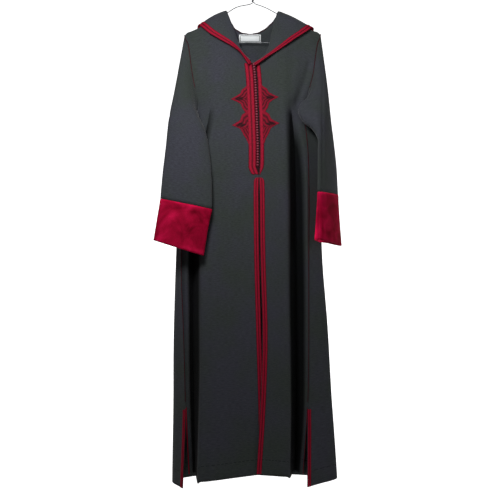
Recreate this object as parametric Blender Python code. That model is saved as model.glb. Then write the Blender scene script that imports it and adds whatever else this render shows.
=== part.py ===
"""A hooded djellaba robe on a bent-wire hanger, every cut piece of cloth a wall of its own.

Metres, +Z up. The origin is the inside of the hanger's hook, at its top. +X is the viewer's right when
the front of the robe is looked at, and the front faces -Y. Sizes below are in millimetres, and a drop
is measured down from the origin.
"""
import bmesh
import bpy
import numpy as np
from mathutils import Vector
from mathutils.bvhtree import BVHTree

for leftover in list(bpy.data.objects):
    bpy.data.objects.remove(leftover, do_unlink=True)

MM = 0.001

# ---- cloth and gaps -------------------------------------------------------------------------------
CLOTH = 1.6             # thickness of the robe's cloth, seam allowances pressed in
VELVET = 2.2            # thickness of a cuff
SEAM_GAP = 0.3          # between two pieces that are sewn together
LAY_GAP = 0.4           # between a panel and what is sewn on it
BRAID = 1.2             # thickness of the woven braid
CORD_END = 0.86         # part of its last row that a side cord runs, clear of the slit's braid
CORD_RADIUS = 0.9       # the fine cord along the seams

# ---- hanger ---------------------------------------------------------------------------------------
WIRE_RADIUS = 1.4
HOOK_RADIUS = 20.0      # to the middle of the wire
TWIST_TURNS = 2.5
TWIST_TOP, TWIST_FOOT = 58.0, 74.0
BAR_DROP = 199.0
# The shoulders of the frame: across, drop
LEFT_ARM = ((-6, 79), (-49, 89), (-75, 104), (-102, 123), (-127, 139.5), (-164, 157), (-190, 169))
RIGHT_ARM = ((4.5, 78), (37, 90), (68, 106), (96, 122), (121, 136.5), (160, 155.5), (190, 169))
FRAME_END = ((-200.5, 176), (-203.5, 186), (-199, 195.5), (-187, 199))

# ---- necklines and shoulders ----------------------------------------------------------------------
SHOULDER_ROLL = 5.0     # radius of the cloth over the hanger's wire
NECK_EASE = 8.0         # cloth between the first rows where there is no roll
ON_WIRE = 4.2           # the middle of the cloth above the middle of the wire
# Seam of the hood, from the point of the neck up to the shoulder: across, depth, drop
NECK_RIGHT = ((8, -17, 262), (-6, -17, 257), (-24, -16, 243), (-42, -14, 213), (-53, -12, 180),
              (-66, -9.5, 143), (-77.5, -8.5, 112.5), (-80, 0, 103))
NECK_LEFT = ((8, -17, 262), (20, -17, 256.5), (38, -16, 238), (50, -14, 212), (57, -12, 178),
             (64.5, -9.5, 145), (73.5, -8.5, 114), (76, 0, 105.5))
NECK_BACK = ((-80, 0, 103), (-77.5, 8, 111.5), (-69, 8, 132), (-56, 9, 152), (-34, 10, 165),
             (-8, 11, 168.5), (17, 10, 164), (40, 9, 151.5), (61, 8, 132), (73.5, 8, 113.5),
             (76, 0, 105.5))
SHOULDER_POINT_RIGHT = (-211, 0, 177)
SHOULDER_POINT_LEFT = (209, 0, 175)
UNDERARM_DROP = 405.0
# Armhole seam below the shoulder: across, depth of the front one, depth of the back one, drop
ARMHOLE_RIGHT = ((-211, -5, 5, 182), (-200, -9, 8, 207), (-193, -13, 13, 253), (-184, -15, 15, 315),
                 (-173, -11, 9, 368), (-165, -6, 0, 405))
ARMHOLE_LEFT = ((209, -5, 5, 180), (199, -9, 8, 207), (192, -13, 13, 253), (180, -15, 15, 325),
                (166, -11, 9, 372), (155, -6, 0, 405))

# ---- the skirt of the robe, one row for each level ------------------------------------------------
# Front on the viewer's left: drop, then (across, depth) of the opening, fold edge, fold floor, lip, seam
FRONT_RIGHT = (
    (405, (17, -29), (-112, -25), (-131, -18), (-146, -12), (-165, -4)),
    (445, (19, -33), (-119, -28), (-138, -15), (-152, -14), (-171, -8)),
    (520, (21, -38), (-136, -33), (-154, -10), (-167, -17), (-186, -12)),
    (700, (19, -45), (-152, -43), (-171, -2), (-187, -24), (-206, -18)),
    (873, (21, -50), (-163, -51), (-179, 6), (-196, -34), (-219, -26)),
    (1100, (27, -60), (-163, -59), (-179, 12), (-193, -38), (-211, -33)),
    (1323, (33, -69), (-165, -68), (-177, 18), (-190, -40), (-205, -35)),
    (1540, (36, -79), (-168, -80), (-176, 22), (-184, -14), (-198, -4)),
)
# Front on the viewer's right, the same columns
FRONT_LEFT = (
    (405, (17, -29), (97, -29), (116, -18), (134, -12), (155, -4)),
    (445, (19, -33), (100, -33), (122, -11), (142, -12), (160, -8)),
    (520, (21, -38), (103, -37), (130, 2), (150, -17), (168, -13)),
    (700, (19, -45), (103, -43), (131, 10), (154, -24), (171, -20)),
    (873, (21, -51), (103, -48), (131, 14), (155, -26), (170, -26)),
    (1100, (27, -66), (104, -57), (130, 20), (155, -31), (170, -33)),
    (1323, (20.5, -76), (104, -66), (129, 25), (150, -34), (166.5, -37)),
    (1540, (8, -86), (101, -78), (127, 28), (140, -4), (156, -10)),
)
# Back, from the viewer's left seam to the right one: side fold, hollow, ridge, hollow, side fold
BACK = (
    (405, (-165, -4), (-166, 10), (-97, 26), (-10, 30), (76, 26), (157, 10), (155, -4)),
    (445, (-171, -8), (-184, 12), (-97, 27), (-10, 33), (78, 27), (180, 12), (160, -8)),
    (520, (-186, -12), (-215, 12), (-100, 28), (-10, 38), (85, 28), (209, 14), (168, -13)),
    (700, (-206, -18), (-235, 10), (-105, 28), (-10, 46), (95, 28), (216, 12), (171, -20)),
    (873, (-219, -26), (-244, 8), (-110, 28), (-12, 54), (100, 28), (222, 10), (170, -26)),
    (1100, (-211, -33), (-252, 8), (-115, 26), (-15, 62), (108, 26), (241, 8), (170, -33)),
    (1323, (-205, -35), (-256, 10), (-120, 24), (-18, 70), (114, 24), (256, 8), (166.5, -37)),
    (1540, (-213, -42), (-260, 12), (-125, 20), (-20, 78), (120, 20), (272, 8), (165, -43)),
)
# How far each turn is rounded, along the cloth, at the underarm and at the hem
FRONT_ROUNDING = ((8, 16), (4, 14), (5, 8))
BACK_ROUNDING = ((8, 22), (20, 55), (25, 60), (20, 55), (8, 22))
# Drop of the hem at each named line
HEM_RIGHT = (1512, 1541, 1533, 1532, 1534)
HEM_LEFT = (1512, 1524, 1532, 1532, 1534)
HEM_BACK = (1567, 1561, 1545, 1548, 1545, 1550, 1563)
OPENING_X = ((262, 8), (315, 13), (377, 16), (439, 18.5), (501, 20.5), (563, 21), (620, 18.5),
             (700, 19))
SLIT_TOP = 620.0        # of the front slit
SLIT_EDGE = 1.3         # each edge stands this far from the opening line
SIDE_SLIT_TOP = 1323.0
BODY_DROPS = (405, 440, 480, 525, 572, 620, 665, 720, 785, 850, 920, 995, 1070, 1145, 1220, 1280, 1323,
              1385, 1450, 1500, 1540)
SIDE_PULL = 1.6         # how near to the armhole its own shape is kept
DEPTH_EASE = 1.5        # the chest stands out sooner than an even slope would
UPPER_STEPS = (0.0, 0.1, 0.24, 0.4, 0.56, 0.72, 0.87)

# ---- sleeves --------------------------------------------------------------------------------------
# A row for each ring: middle, then the ways to the outer, inner and front sides (across, depth, drop)
SLEEVE_RIGHT = (
    ((-187, 0, 291), (-24, 0, -114), (22, 0, 114), (-3, -18, 0)),
    ((-190, -9, 335), (-35, 0, -78), (14, 0, 94), (-8, -25, 0)),
    ((-197, -26, 402), (-44, 0, -44), (42, -8, 48), (-4, -24, 0)),
    ((-198, -40, 466), (-57, 0, -30), (57, -4, 30), (-2, -20, 0)),
    ((-197, -54, 549), (-67, 0, -17), (67, 0, 18), (0, -16, 0)),
    ((-198, -64, 628), (-74, 0, -15), (74, 0, 15), (0, -14, 0)),
    ((-200, -71.5, 703), (-77, 0, -15.5), (77, 0, 15.5), (0, -13, 0)),
)
CUFF_RIGHT = (
    ((-200.2, -71.5, 703.8), (-76.5, 0, -15.5), (76.5, 0, 15.5), (0, -13, 0)),
    ((-212, -75, 770), (-75, 0, -19), (75, 0, 19), (0, -15, 0)),
    ((-223, -79, 836), (-74, 0, -23), (75, 0, 23), (0, -17, 0)),
)
SLEEVE_LEFT = (
    ((182, 0, 290), (27, 0, -115), (-27, 0, 115), (3, -18, 0)),
    ((193, -4, 334), (29, 2, -66), (-26, 0, 102), (4, -30, -2)),
    ((209, -10, 410), (27, 6, -26), (-33, -12, 48), (-6, -46, -2)),
    ((222, -16, 480), (19, 8, -10), (-17, -9, 8), (-20, -55, 0)),
    ((228, -20, 560), (16, 8, 0), (-16, -8, 0), (-29, -60, 0)),
    ((232, -24.5, 668), (14, 7, 0), (-20, -10, 0), (-33, -64, 0)),
)
CUFF_LEFT = (
    ((232, -24.5, 668.7), (14, 7, 0), (-20, -10, 0), (-33, -64, 0)),
    ((235, -27, 745), (15, 7, 2), (-21, -11, -2), (-35, -66, -4)),
    ((238, -29, 820), (16, 8, 2), (-22, -12, -2), (-38, -68, -9)),
)
SLEEVE_RINGS = (0.0, 0.09, 0.18, 0.27, 0.36, 0.45, 0.54, 0.63, 0.72, 0.81, 0.9, 1.0)
SLEEVE_EVENINGS = 2     # times that the rings near the armhole are evened out
UNDERARM_GAP = 7.0      # the seam stands open a little where four pieces meet under the arm
ARMHOLE_FADE = 0.42     # part of the sleeve over which the armhole's own outline dies away

# ---- hood -----------------------------------------------------------------------------------------
HOOD_BRAID_WIDTH = 17.5
HOOD_CELLS = 14
BAND_EASE = 0.3         # the band is folded this much more loosely than it is sewn on elsewhere
POUCH_OFF = 18.0        # how far the foot of the pouch stands off behind
NECK_SIDE_OFF = 2.2      # the hood stands this much further off at the sides of the neck
HOOD_RISE = 0.4         # of that distance for each step away from the seam
HOOD_CLEAR = 6.0        # between the middle of the panels and the middle of the hood
# A row for each seam point: stand-off, pouch, and the face edge (across, depth, drop)
HOOD_RIGHT = (
    (1, 0, -17, -30, 268), (2, 0, -39, -30, 237), (3, 0, -68, -28, 215), (4, 0, -98, -25, 197),
    (4, 0, -130, -21, 177), (4, 0, -156, -14, 155), (3, 0, -168, 0, 145.5),
)
HOOD_BACK = (
    (4, 0, -171, 12, 152), (6, 60, -162, 31, 172), (6, 132, -133, 50, 206), (0, 225, -84, 63, 236),
    (0, 290, -5, 70, 249), (0, 228, 77, 64, 238), (6, 150, 136, 52, 216), (6, 66, 172, 36, 190),
    (4, 0, 187.5, 12.5, 161),
)
HOOD_LEFT = (
    (3, 0, 186, 0, 154), (4, 0, 176, -13.5, 160), (4, 0, 157, -19.5, 174), (4, 0, 130, -23, 192),
    (3, 0, 101, -26.5, 213), (3, 0, 71, -28.5, 234), (2, 0, 42, -30, 253), (2, 0, 13, -31, 273),
)

# ---- chest placket, buttons and slit braids -------------------------------------------------------
PLACKET_TOP, PLACKET_FOOT = 268.0, 613.0
BAND_SHIFT = -10.5      # middle of the band from the opening line
ORNAMENT_SKEW = -0.04   # the viewer's right side sits a little higher
BUTTON_COUNT, BUTTON_PITCH = 39, 8.2
BUTTON_WIDTH, BUTTON_HEIGHT = 7.6, 4.2
# Outer edge of the placket: drop, distance from the middle of the band
PLACKET_EDGE = ((268, 24), (305, 24), (338, 24), (343, 28), (349, 38), (361, 44), (377, 74),
                (393.5, 43.5), (414, 37), (420, 32.4), (428, 42), (442.5, 46.6), (458, 73),
                (472, 46), (488, 39), (497, 26), (520, 23.5), (560, 23), (588, 23), (598, 20),
                (607, 15), (613, 9.5))
SLIT_BRAID_WIDTH = 14.5
SIDE_BRAID_WIDTH = 12.5
LABEL_WIDTH, LABEL_HEIGHT, LABEL_THICKNESS = 68.0, 27.0, 0.8
LABEL_LEFT, LABEL_TOP = -43.0, 173.5

# ---- colours --------------------------------------------------------------------------------------
CLOTH_COLOUR = (0.035, 0.040, 0.044)
VELVET_COLOUR = (0.185, 0.003, 0.014)
BRAID_COLOUR = (0.20, 0.005, 0.022)
BUTTON_COLOUR = (0.30, 0.10, 0.12)
WIRE_COLOUR = (0.45, 0.45, 0.46)
LABEL_COLOUR = (0.60, 0.63, 0.63)


def world(points):
    """Turns rows of (across, depth, drop) in millimetres into metres with +Z up."""
    points = np.asarray(points, float)
    return points * np.array([MM, MM, -MM])


def read_table(knots, values, at):
    """Reads a table at new places on a smooth curve that never overshoots its rows."""
    knots, values, at = np.asarray(knots, float), np.asarray(values, float), np.asarray(at, float)
    shape = values.shape[1:]
    values = values.reshape(len(knots), -1)
    step = np.diff(knots)[:, None]
    rise = np.diff(values, axis=0) / step
    slope = np.vstack([rise[:1], 0.5 * (rise[1:] + rise[:-1]), rise[-1:]])
    edge = np.zeros_like(rise[:1], bool)
    flat = np.vstack([edge, rise[1:] * rise[:-1] <= 0, edge])
    slope[flat] = 0.0
    limit = 3 * np.minimum(np.abs(np.vstack([rise[:1], rise])), np.abs(np.vstack([rise, rise[-1:]])))
    slope = np.clip(slope, -limit, limit)
    cell = np.clip(np.searchsorted(knots, at, side="right") - 1, 0, len(knots) - 2)
    t = ((at - knots[cell]) / np.diff(knots)[cell])[:, None]
    size = step[cell]
    result = ((1 + 2 * t) * (1 - t) ** 2 * values[cell] + t * (1 - t) ** 2 * size * slope[cell]
              + t * t * (3 - 2 * t) * values[cell + 1] + t * t * (t - 1) * size * slope[cell + 1])
    return result.reshape((len(at),) + shape)


def length_along(points):
    """Running length of a string of points."""
    steps = np.linalg.norm(np.diff(points, axis=0), axis=1)
    return np.concatenate([[0.0], np.cumsum(steps)])


def spread(points, count):
    """Reads a string of points again at count even steps of its length."""
    along = length_along(points)
    return read_table(along, points, np.linspace(0, along[-1], count))


def rounded_section(corners, cuts, inner):
    """A string of straight runs whose inner corners are rounded by a parabola of three points.

    cuts says how far from each corner the rounding starts, and inner how many points each run holds
    between its two ends.
    """
    corners = np.asarray(corners, float)
    starts, ends = [corners[0]], []
    bends = []
    for index, cut in enumerate(cuts, start=1):
        before = corners[index - 1] - corners[index]
        after = corners[index + 1] - corners[index]
        cut = min(cut, 0.45 * np.linalg.norm(before), 0.45 * np.linalg.norm(after))
        enter = corners[index] + before / np.linalg.norm(before) * cut
        leave = corners[index] + after / np.linalg.norm(after) * cut
        ends.append(enter)
        bends.append(0.25 * enter + 0.5 * corners[index] + 0.25 * leave)
        starts.append(leave)
    ends.append(corners[-1])
    points = []
    for index, count in enumerate(inner):
        run = np.linspace(starts[index], ends[index], count + 2)
        points.extend(run)
        if index < len(bends):
            points.append(bends[index])
    return np.array(points)


def skirt_rows(table, rounding, inner, hem):
    """The rows of a panel below the underarm, as (across, depth, drop)."""
    drops = np.array([row[0] for row in table], float)
    corners = np.array([row[1:] for row in table], float)
    share = (np.array(BODY_DROPS) - BODY_DROPS[0]) / (BODY_DROPS[-1] - BODY_DROPS[0])
    rows = []
    for drop, part, row in zip(BODY_DROPS, share, read_table(drops, corners, BODY_DROPS)):
        cuts = [top + (foot - top) * part for top, foot in rounding]
        rows.append(rounded_section(row, cuts, inner))
    rows = np.array(rows)
    named = rounded_section([(index, 0.0) for index in range(len(hem))], [0.3] * len(rounding), inner)
    fall = read_table(np.arange(len(hem)), np.array(hem, float), named[:, 0]) - BODY_DROPS[-1]
    start = 1145.0
    late = np.clip((np.array(BODY_DROPS) - start) / (BODY_DROPS[-1] - start), 0, 1)
    drop = np.array(BODY_DROPS, float)[:, None] + late[:, None] * fall[None, :]
    return np.dstack([rows, drop])


def patch(top, foot, first, last, steps):
    """Coons patch between four edges; steps are the rows, as fractions from the top to the foot."""
    columns = np.linspace(0, 1, len(top))[None, :, None] ** SIDE_PULL
    rows = np.asarray(steps)[:, None, None]
    eased = np.concatenate([rows, 1 - (1 - rows) ** DEPTH_EASE, rows], axis=2)
    across = (1 - columns) * first[:, None] + columns * last[:, None]
    down = (1 - eased) * top[None] + eased * foot[None]
    corners = ((1 - eased) * (1 - columns) * top[0] + (1 - eased) * columns * top[-1]
               + eased * (1 - columns) * foot[0] + eased * columns * foot[-1])
    return across + down - corners


def shoulder_line(arm, neck, point, count):
    """Points of the shoulder seam on the wire, from the neck out to the shoulder point."""
    arm = np.array(arm, float)
    order = np.argsort(np.abs(arm[:, 0]))
    reach = np.abs(np.linspace(neck[0], point[0], count))
    drop = read_table(np.abs(arm[order, 0]), arm[order, 1], np.minimum(reach, abs(arm[-1, 0]))) - ON_WIRE
    blend = np.clip((reach - 190) / (abs(point[0]) - 190), 0, 1) ** 2
    drop = drop * (1 - blend) + point[2] * blend
    line = np.column_stack([np.linspace(neck[0], point[0], count), np.zeros(count), drop])
    line[0] = neck
    return line


def below_edge(edge, on_wire, side):
    """The row where the roll over the wire ends; side is -1 in front and 1 behind."""
    on_wire = np.asarray(on_wire, float)
    row = edge.copy()
    row[:, 1] += side * SHOULDER_ROLL * on_wire
    row[:, 2] += SHOULDER_ROLL * on_wire + NECK_EASE * (1 - on_wire)
    return row


def roll_rows(edge, on_wire, side):
    """The seam and one row halfway round the roll."""
    half = edge.copy()
    quarter = np.sqrt(0.5)
    half[:, 1] += side * SHOULDER_ROLL * quarter * on_wire
    half[:, 2] += SHOULDER_ROLL * (1 - quarter) * on_wire + 0.5 * NECK_EASE * (1 - on_wire)
    return np.array([edge, half])


def normals_of(grid):
    """Unit normals of a grid, on the side where columns crossed with rows point."""
    along = np.gradient(grid, axis=1)
    down = np.gradient(grid, axis=0)
    normal = np.cross(along, down)
    return normal / np.maximum(np.linalg.norm(normal, axis=2, keepdims=True), 1e-9)


def face_normals(grid):
    """Unit normals of a grid whose cells may be sheared: the sum of the cells around each point."""
    cells = np.cross(grid[:-1, 1:] - grid[1:, :-1], grid[1:, 1:] - grid[:-1, :-1])
    padded = np.pad(cells, ((1, 1), (1, 1), (0, 0)))
    total = padded[:-1, :-1] + padded[:-1, 1:] + padded[1:, :-1] + padded[1:, 1:]
    return total / np.linalg.norm(total, axis=2, keepdims=True)


def shared(first, second):
    """The one direction that two pieces use along the seam between them."""
    total = first + second
    return total / np.maximum(np.linalg.norm(total, axis=-1, keepdims=True), 1e-9)


def new_material(name, colour, roughness, metallic=0.0):
    material = bpy.data.materials.new(name)
    material.use_nodes = True
    shader = material.node_tree.nodes["Principled BSDF"]
    shader.inputs["Base Color"].default_value = (*colour, 1.0)
    shader.inputs["Roughness"].default_value = roughness
    shader.inputs["Metallic"].default_value = metallic
    return material


def new_object(name, vertices, faces, colour, roughness=0.85, metallic=0.0):
    """One closed solid from its points in millimetres and its faces."""
    mesh = bpy.data.meshes.new(name)
    mesh.from_pydata([tuple(point) for point in world(vertices)], [], [tuple(face) for face in faces])
    shell = bmesh.new()
    shell.from_mesh(mesh)
    bmesh.ops.recalc_face_normals(shell, faces=shell.faces)
    bmesh.ops.triangulate(shell, faces=shell.faces, quad_method="SHORT_EDGE")
    shell.to_mesh(mesh)
    shell.free()
    mesh.shade_smooth()
    thing = bpy.data.objects.new(name, mesh)
    bpy.context.scene.collection.objects.link(thing)
    mesh.materials.append(new_material(name, colour, roughness, metallic))
    return thing


def wall_between(outer, inner, closed=False):
    """Vertices and faces of the solid between two grids of the same size.

    The grid's columns join up into a ring when closed.
    """
    rows, columns = outer.shape[:2]
    number = np.arange(rows * columns).reshape(rows, columns)
    if closed:
        number = np.hstack([number, number[:, :1]])
    base = rows * columns
    a, b = number[:-1, :-1].ravel(), number[:-1, 1:].ravel()
    c, d = number[1:, 1:].ravel(), number[1:, :-1].ravel()
    faces = list(zip(a, d, c, b)) + list(zip(a + base, b + base, c + base, d + base))
    edges = [(number[0, i], number[0, i + 1]) for i in range(number.shape[1] - 1)]
    edges += [(number[-1, i + 1], number[-1, i]) for i in range(number.shape[1] - 1)]
    if not closed:
        edges += [(number[j + 1, 0], number[j, 0]) for j in range(rows - 1)]
        edges += [(number[j, -1], number[j + 1, -1]) for j in range(rows - 1)]
    faces += [(p, q, q + base, p + base) for p, q in edges]
    return np.vstack([outer.reshape(-1, 3), inner.reshape(-1, 3)]), faces


def cloth(name, grid, normal, thickness=CLOTH, colour=CLOTH_COLOUR, closed=False, roughness=0.85):
    """A wall of even thickness about a grid of points."""
    outer = grid + normal * thickness / 2
    inner = grid - normal * thickness / 2
    return new_object(name, *wall_between(outer, inner, closed), colour, roughness)


def inset(grid, top=0.0, first=0.0, last=0.0):
    """Draws the edges of a grid in along its own rows and columns, for the gap at a seam.

    first and last may be one size or one for each row.
    """
    grid = grid.copy()

    def pull(edge, neighbour, size):
        way = neighbour - edge
        size = np.broadcast_to(np.asarray(size, float), edge.shape[:1])[:, None]
        return edge + way / np.linalg.norm(way, axis=-1, keepdims=True) * size

    grid[0] = pull(grid[0], grid[1], top)
    grid[:, 0] = pull(grid[:, 0], grid[:, 1], first)
    grid[:, -1] = pull(grid[:, -1], grid[:, -2], last)
    return grid


def rod(name, path, radius, sides, colour, roughness=0.8, metallic=0.0, up=None):
    """A round rod along a path, with plain ends; up holds a direction for each of its points."""
    path = np.asarray(path, float)
    along = np.gradient(path, axis=0)
    along /= np.linalg.norm(along, axis=1, keepdims=True)
    if up is None:
        up = np.tile([0.0, 1.0, 0.0], (len(path), 1))
    side = np.cross(along, up)
    side /= np.linalg.norm(side, axis=1, keepdims=True)
    up = np.cross(side, along)
    turn = np.arange(sides) * 2 * np.pi / sides
    ring = (np.cos(turn)[None, :, None] * side[:, None] + np.sin(turn)[None, :, None] * up[:, None])
    points = (path[:, None] + radius * ring).reshape(-1, 3)
    number = np.arange(len(points)).reshape(len(path), sides)
    nearer, further = number[:-1], number[1:]
    faces = list(zip(nearer.ravel(), np.roll(nearer, -1, 1).ravel(),
                     np.roll(further, -1, 1).ravel(), further.ravel()))
    faces += [tuple(number[0][::-1]), tuple(number[-1])]
    return new_object(name, points, faces, colour, roughness, metallic)


def smooth_path(points, step):
    """Points every step along a smooth curve through a short list of points."""
    points = np.asarray(points, float)
    dense = read_table(length_along(points), points, np.linspace(0, length_along(points)[-1], 600))
    return spread(dense, max(3, int(round(length_along(dense)[-1] / step)) + 1))


# ---- body panels ----------------------------------------------------------------------------------
FRONT_INNER = (7, 1, 1, 1)
BACK_INNER = (1, 1, 1, 1, 1, 1)
NECK_CELLS = len(NECK_RIGHT) - 1


def evened(grid, middle, reach, times):
    """Evens out the run of the columns over the rows from middle - reach to middle + reach."""
    grid = grid.copy()
    rows = np.arange(middle - reach, middle + reach + 1)
    for _ in range(times):
        grid[rows] = 0.25 * grid[rows - 1] + 0.5 * grid[rows] + 0.25 * grid[rows + 1]
    return grid


def opening_line(drops):
    """Depth stays as it is; across follows the opening down to the slit."""
    knots = np.array(OPENING_X, float)
    return read_table(knots[:, 0], knots[:, 1], drops)


def front_panel(table, hem, neck, arm, point, armhole):
    """A front: rows from the neckline and shoulder seam down to the hem, columns from the opening out."""
    skirt = skirt_rows(table, FRONT_ROUNDING, FRONT_INNER, hem)
    inner_rows = skirt[:, 0, 2] < 700
    skirt[inner_rows, 0, 0] = opening_line(skirt[inner_rows, 0, 2])
    columns = skirt.shape[1]
    neck = np.array(neck, float)
    shoulder = shoulder_line(arm, neck[-1], point, columns - NECK_CELLS)
    edge = np.vstack([neck[:-1], shoulder])
    on_wire = np.clip((np.arange(columns) - NECK_CELLS + 1) / 1.0, 0, 1)[:, None].ravel()
    top = below_edge(edge, on_wire, -1)
    armhole = np.array(armhole, float)
    steps = np.array(UPPER_STEPS)
    side = read_table((armhole[:, 3] - armhole[0, 3]) / np.ptp(armhole[:, 3]), armhole[:, [0, 1, 3]], steps)
    side[0] = top[-1]
    centre_drop = top[0, 2] + steps * (UNDERARM_DROP - top[0, 2])
    centre_depth = top[0, 1] + (1 - (1 - steps) ** DEPTH_EASE) * (skirt[0, 0, 1] - top[0, 1])
    centre = np.column_stack([opening_line(centre_drop), centre_depth, centre_drop])
    centre[0] = top[0]
    upper = patch(top, skirt[0], centre, side, steps)
    rows = np.vstack([roll_rows(edge, on_wire, -1), upper, skirt])
    return evened(rows, 2 + len(steps), 2, 2)


def back_panel():
    """The back: the same rows, with columns from the viewer's left seam to the right one."""
    skirt = skirt_rows(BACK, BACK_ROUNDING, BACK_INNER, HEM_BACK)
    columns = skirt.shape[1]
    neck = np.array(NECK_BACK, float)
    outside = (columns - len(neck)) // 2 + 1
    left = shoulder_line(LEFT_ARM, neck[0], SHOULDER_POINT_RIGHT, outside)[::-1]
    right = shoulder_line(RIGHT_ARM, neck[-1], SHOULDER_POINT_LEFT, columns - len(neck) - outside + 2)
    edge = np.vstack([left, neck[1:-1], right])
    on_wire = np.ones(columns)
    on_wire[outside:outside + len(neck) - 2] = 0.0
    top = below_edge(edge, on_wire, 1)
    steps = np.array(UPPER_STEPS)
    sides = []
    for armhole, corner in ((ARMHOLE_RIGHT, top[0]), (ARMHOLE_LEFT, top[-1])):
        armhole = np.array(armhole, float)
        share = (armhole[:, 3] - armhole[0, 3]) / np.ptp(armhole[:, 3])
        side = read_table(share, armhole[:, [0, 2, 3]], steps)
        side[0] = corner
        sides.append(side)
    upper = patch(top, skirt[0], sides[0], sides[1], steps)
    rows = np.vstack([roll_rows(edge, on_wire, 1), upper, skirt])
    return evened(rows, 2 + len(steps), 2, 2), outside - 1


right_front = front_panel(FRONT_RIGHT, HEM_RIGHT, NECK_RIGHT, LEFT_ARM, SHOULDER_POINT_RIGHT, ARMHOLE_RIGHT)
left_front = front_panel(FRONT_LEFT, HEM_LEFT, NECK_LEFT, RIGHT_ARM, SHOULDER_POINT_LEFT, ARMHOLE_LEFT)
back, neck_start = back_panel()
neck_end = neck_start + len(NECK_BACK) - 1
UNDERARM_ROW = 2 + len(UPPER_STEPS)
SEWN_ROWS = UNDERARM_ROW + sum(drop <= SIDE_SLIT_TOP for drop in BODY_DROPS)

# The side seams: fronts and back share their points down to the side slits
for front, edge in ((right_front, 0), (left_front, -1)):
    sewn = slice(UNDERARM_ROW, SEWN_ROWS)
    middle = 0.5 * (front[sewn, -1] + back[sewn, edge])
    front[sewn, -1] = middle
    back[sewn, edge] = middle

# The opening: each front stands back from it below the top of the slit
open_rows = right_front[:, 0, 2] > SLIT_TOP + 1
right_front[open_rows, 0, 0] -= SLIT_EDGE
left_front[open_rows, 0, 0] += SLIT_EDGE
opening_gap = np.where(open_rows, 0.0, SEAM_GAP / 2)

right_normal = -normals_of(right_front)
left_normal = normals_of(left_front)
back_normal = -normals_of(back)


def upright(row):
    """Directions square to a shoulder seam, up and away from the wire."""
    along = np.gradient(row, axis=0)
    normal = np.column_stack([along[:, 2], np.zeros(len(row)), -along[:, 0]])
    normal *= -np.sign(normal[:, 2:])
    return normal / np.linalg.norm(normal, axis=1, keepdims=True)


# Along the necklines the first rows take the direction of the cloth below them
for normal, neckline in ((right_normal, slice(0, NECK_CELLS)), (left_normal, slice(0, NECK_CELLS)),
                         (back_normal, slice(neck_start + 1, neck_end))):
    normal[:2, neckline] = normal[2, neckline]
right_normal[0, NECK_CELLS:] = upright(right_front[0, NECK_CELLS:])
left_normal[0, NECK_CELLS:] = upright(left_front[0, NECK_CELLS:])
back_normal[0, :neck_start + 1] = upright(back[0, :neck_start + 1])
back_normal[0, neck_end:] = upright(back[0, neck_end:])
for normal, edge in ((right_normal, 0), (left_normal, -1)):
    sewn = slice(UNDERARM_ROW, SEWN_ROWS)
    both = shared(normal[sewn, -1], back_normal[sewn, edge])
    normal[sewn, -1] = both
    back_normal[sewn, edge] = both
above_slit = ~open_rows
both = shared(right_normal[above_slit, 0], left_normal[above_slit, 0])
right_normal[above_slit, 0] = both
left_normal[above_slit, 0] = both


# ---- sleeves and cuffs ----------------------------------------------------------------------------
def armhole_loop(front, back_edge):
    """The armhole seam: from the shoulder down the front to the underarm, then up the back."""
    return np.vstack([front[:UNDERARM_ROW + 1], back_edge[UNDERARM_ROW - 1:0:-1]])


def tube_rings(table, places, turns):
    """Rings of a flattened tube; turns holds one angle for each point, or a row of them for each ring."""
    rows = np.array(table, float)
    knots = np.concatenate([[0], np.cumsum(np.linalg.norm(np.diff(rows[:, 0], axis=0), axis=1))])
    rows = read_table(knots / knots[-1], rows, places)
    centre, outer, inner, front = (rows[:, index][:, None] for index in range(4))
    turns = np.broadcast_to(turns, (len(places), np.shape(turns)[-1]))[:, :, None]
    outward = np.cos(turns)
    return centre + np.maximum(outward, 0) * outer + np.maximum(-outward, 0) * inner + np.sin(turns) * front


def sleeve_rings(table, loop):
    """A sleeve's rings: the first is the armhole itself, whose outline fades along the sleeve."""
    half = UNDERARM_ROW
    count = len(loop)
    down = length_along(loop[:half + 1])
    up = length_along(np.vstack([loop[half:], loop[:1]]))
    at_armhole = np.concatenate([np.pi * down / down[-1], np.pi + np.pi * up[1:-1] / up[-1]])
    even = np.arange(count) * 2 * np.pi / count
    places = np.array(SLEEVE_RINGS)
    fade = np.clip(1 - places / ARMHOLE_FADE, 0, 1)[:, None]
    fade = fade * fade * (3 - 2 * fade)
    rings = tube_rings(table, places, fade * at_armhole + (1 - fade) * even)
    rings = rings + fade[:, :, None] * (loop - rings[0])[None]
    for _ in range(SLEEVE_EVENINGS):
        even = 0.25 * (np.roll(rings, 1, 1) + np.roll(rings, -1, 1))[1:-1] + 0.25 * (rings[:-2] + rings[2:])
        rings[1:-1] += np.clip(2 * fade[1:-1, :, None], 0, 1) * (even - rings[1:-1])
    return rings


def ring_normals(rings):
    """Unit normals of a closed tube, away from its middle."""
    joined = np.hstack([rings[:, -1:], rings, rings[:, :1]])
    normal = face_normals(joined)[:, 1:-1]
    away = rings - rings.mean(axis=1, keepdims=True)
    return normal * np.sign((normal * away).sum())


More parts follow.
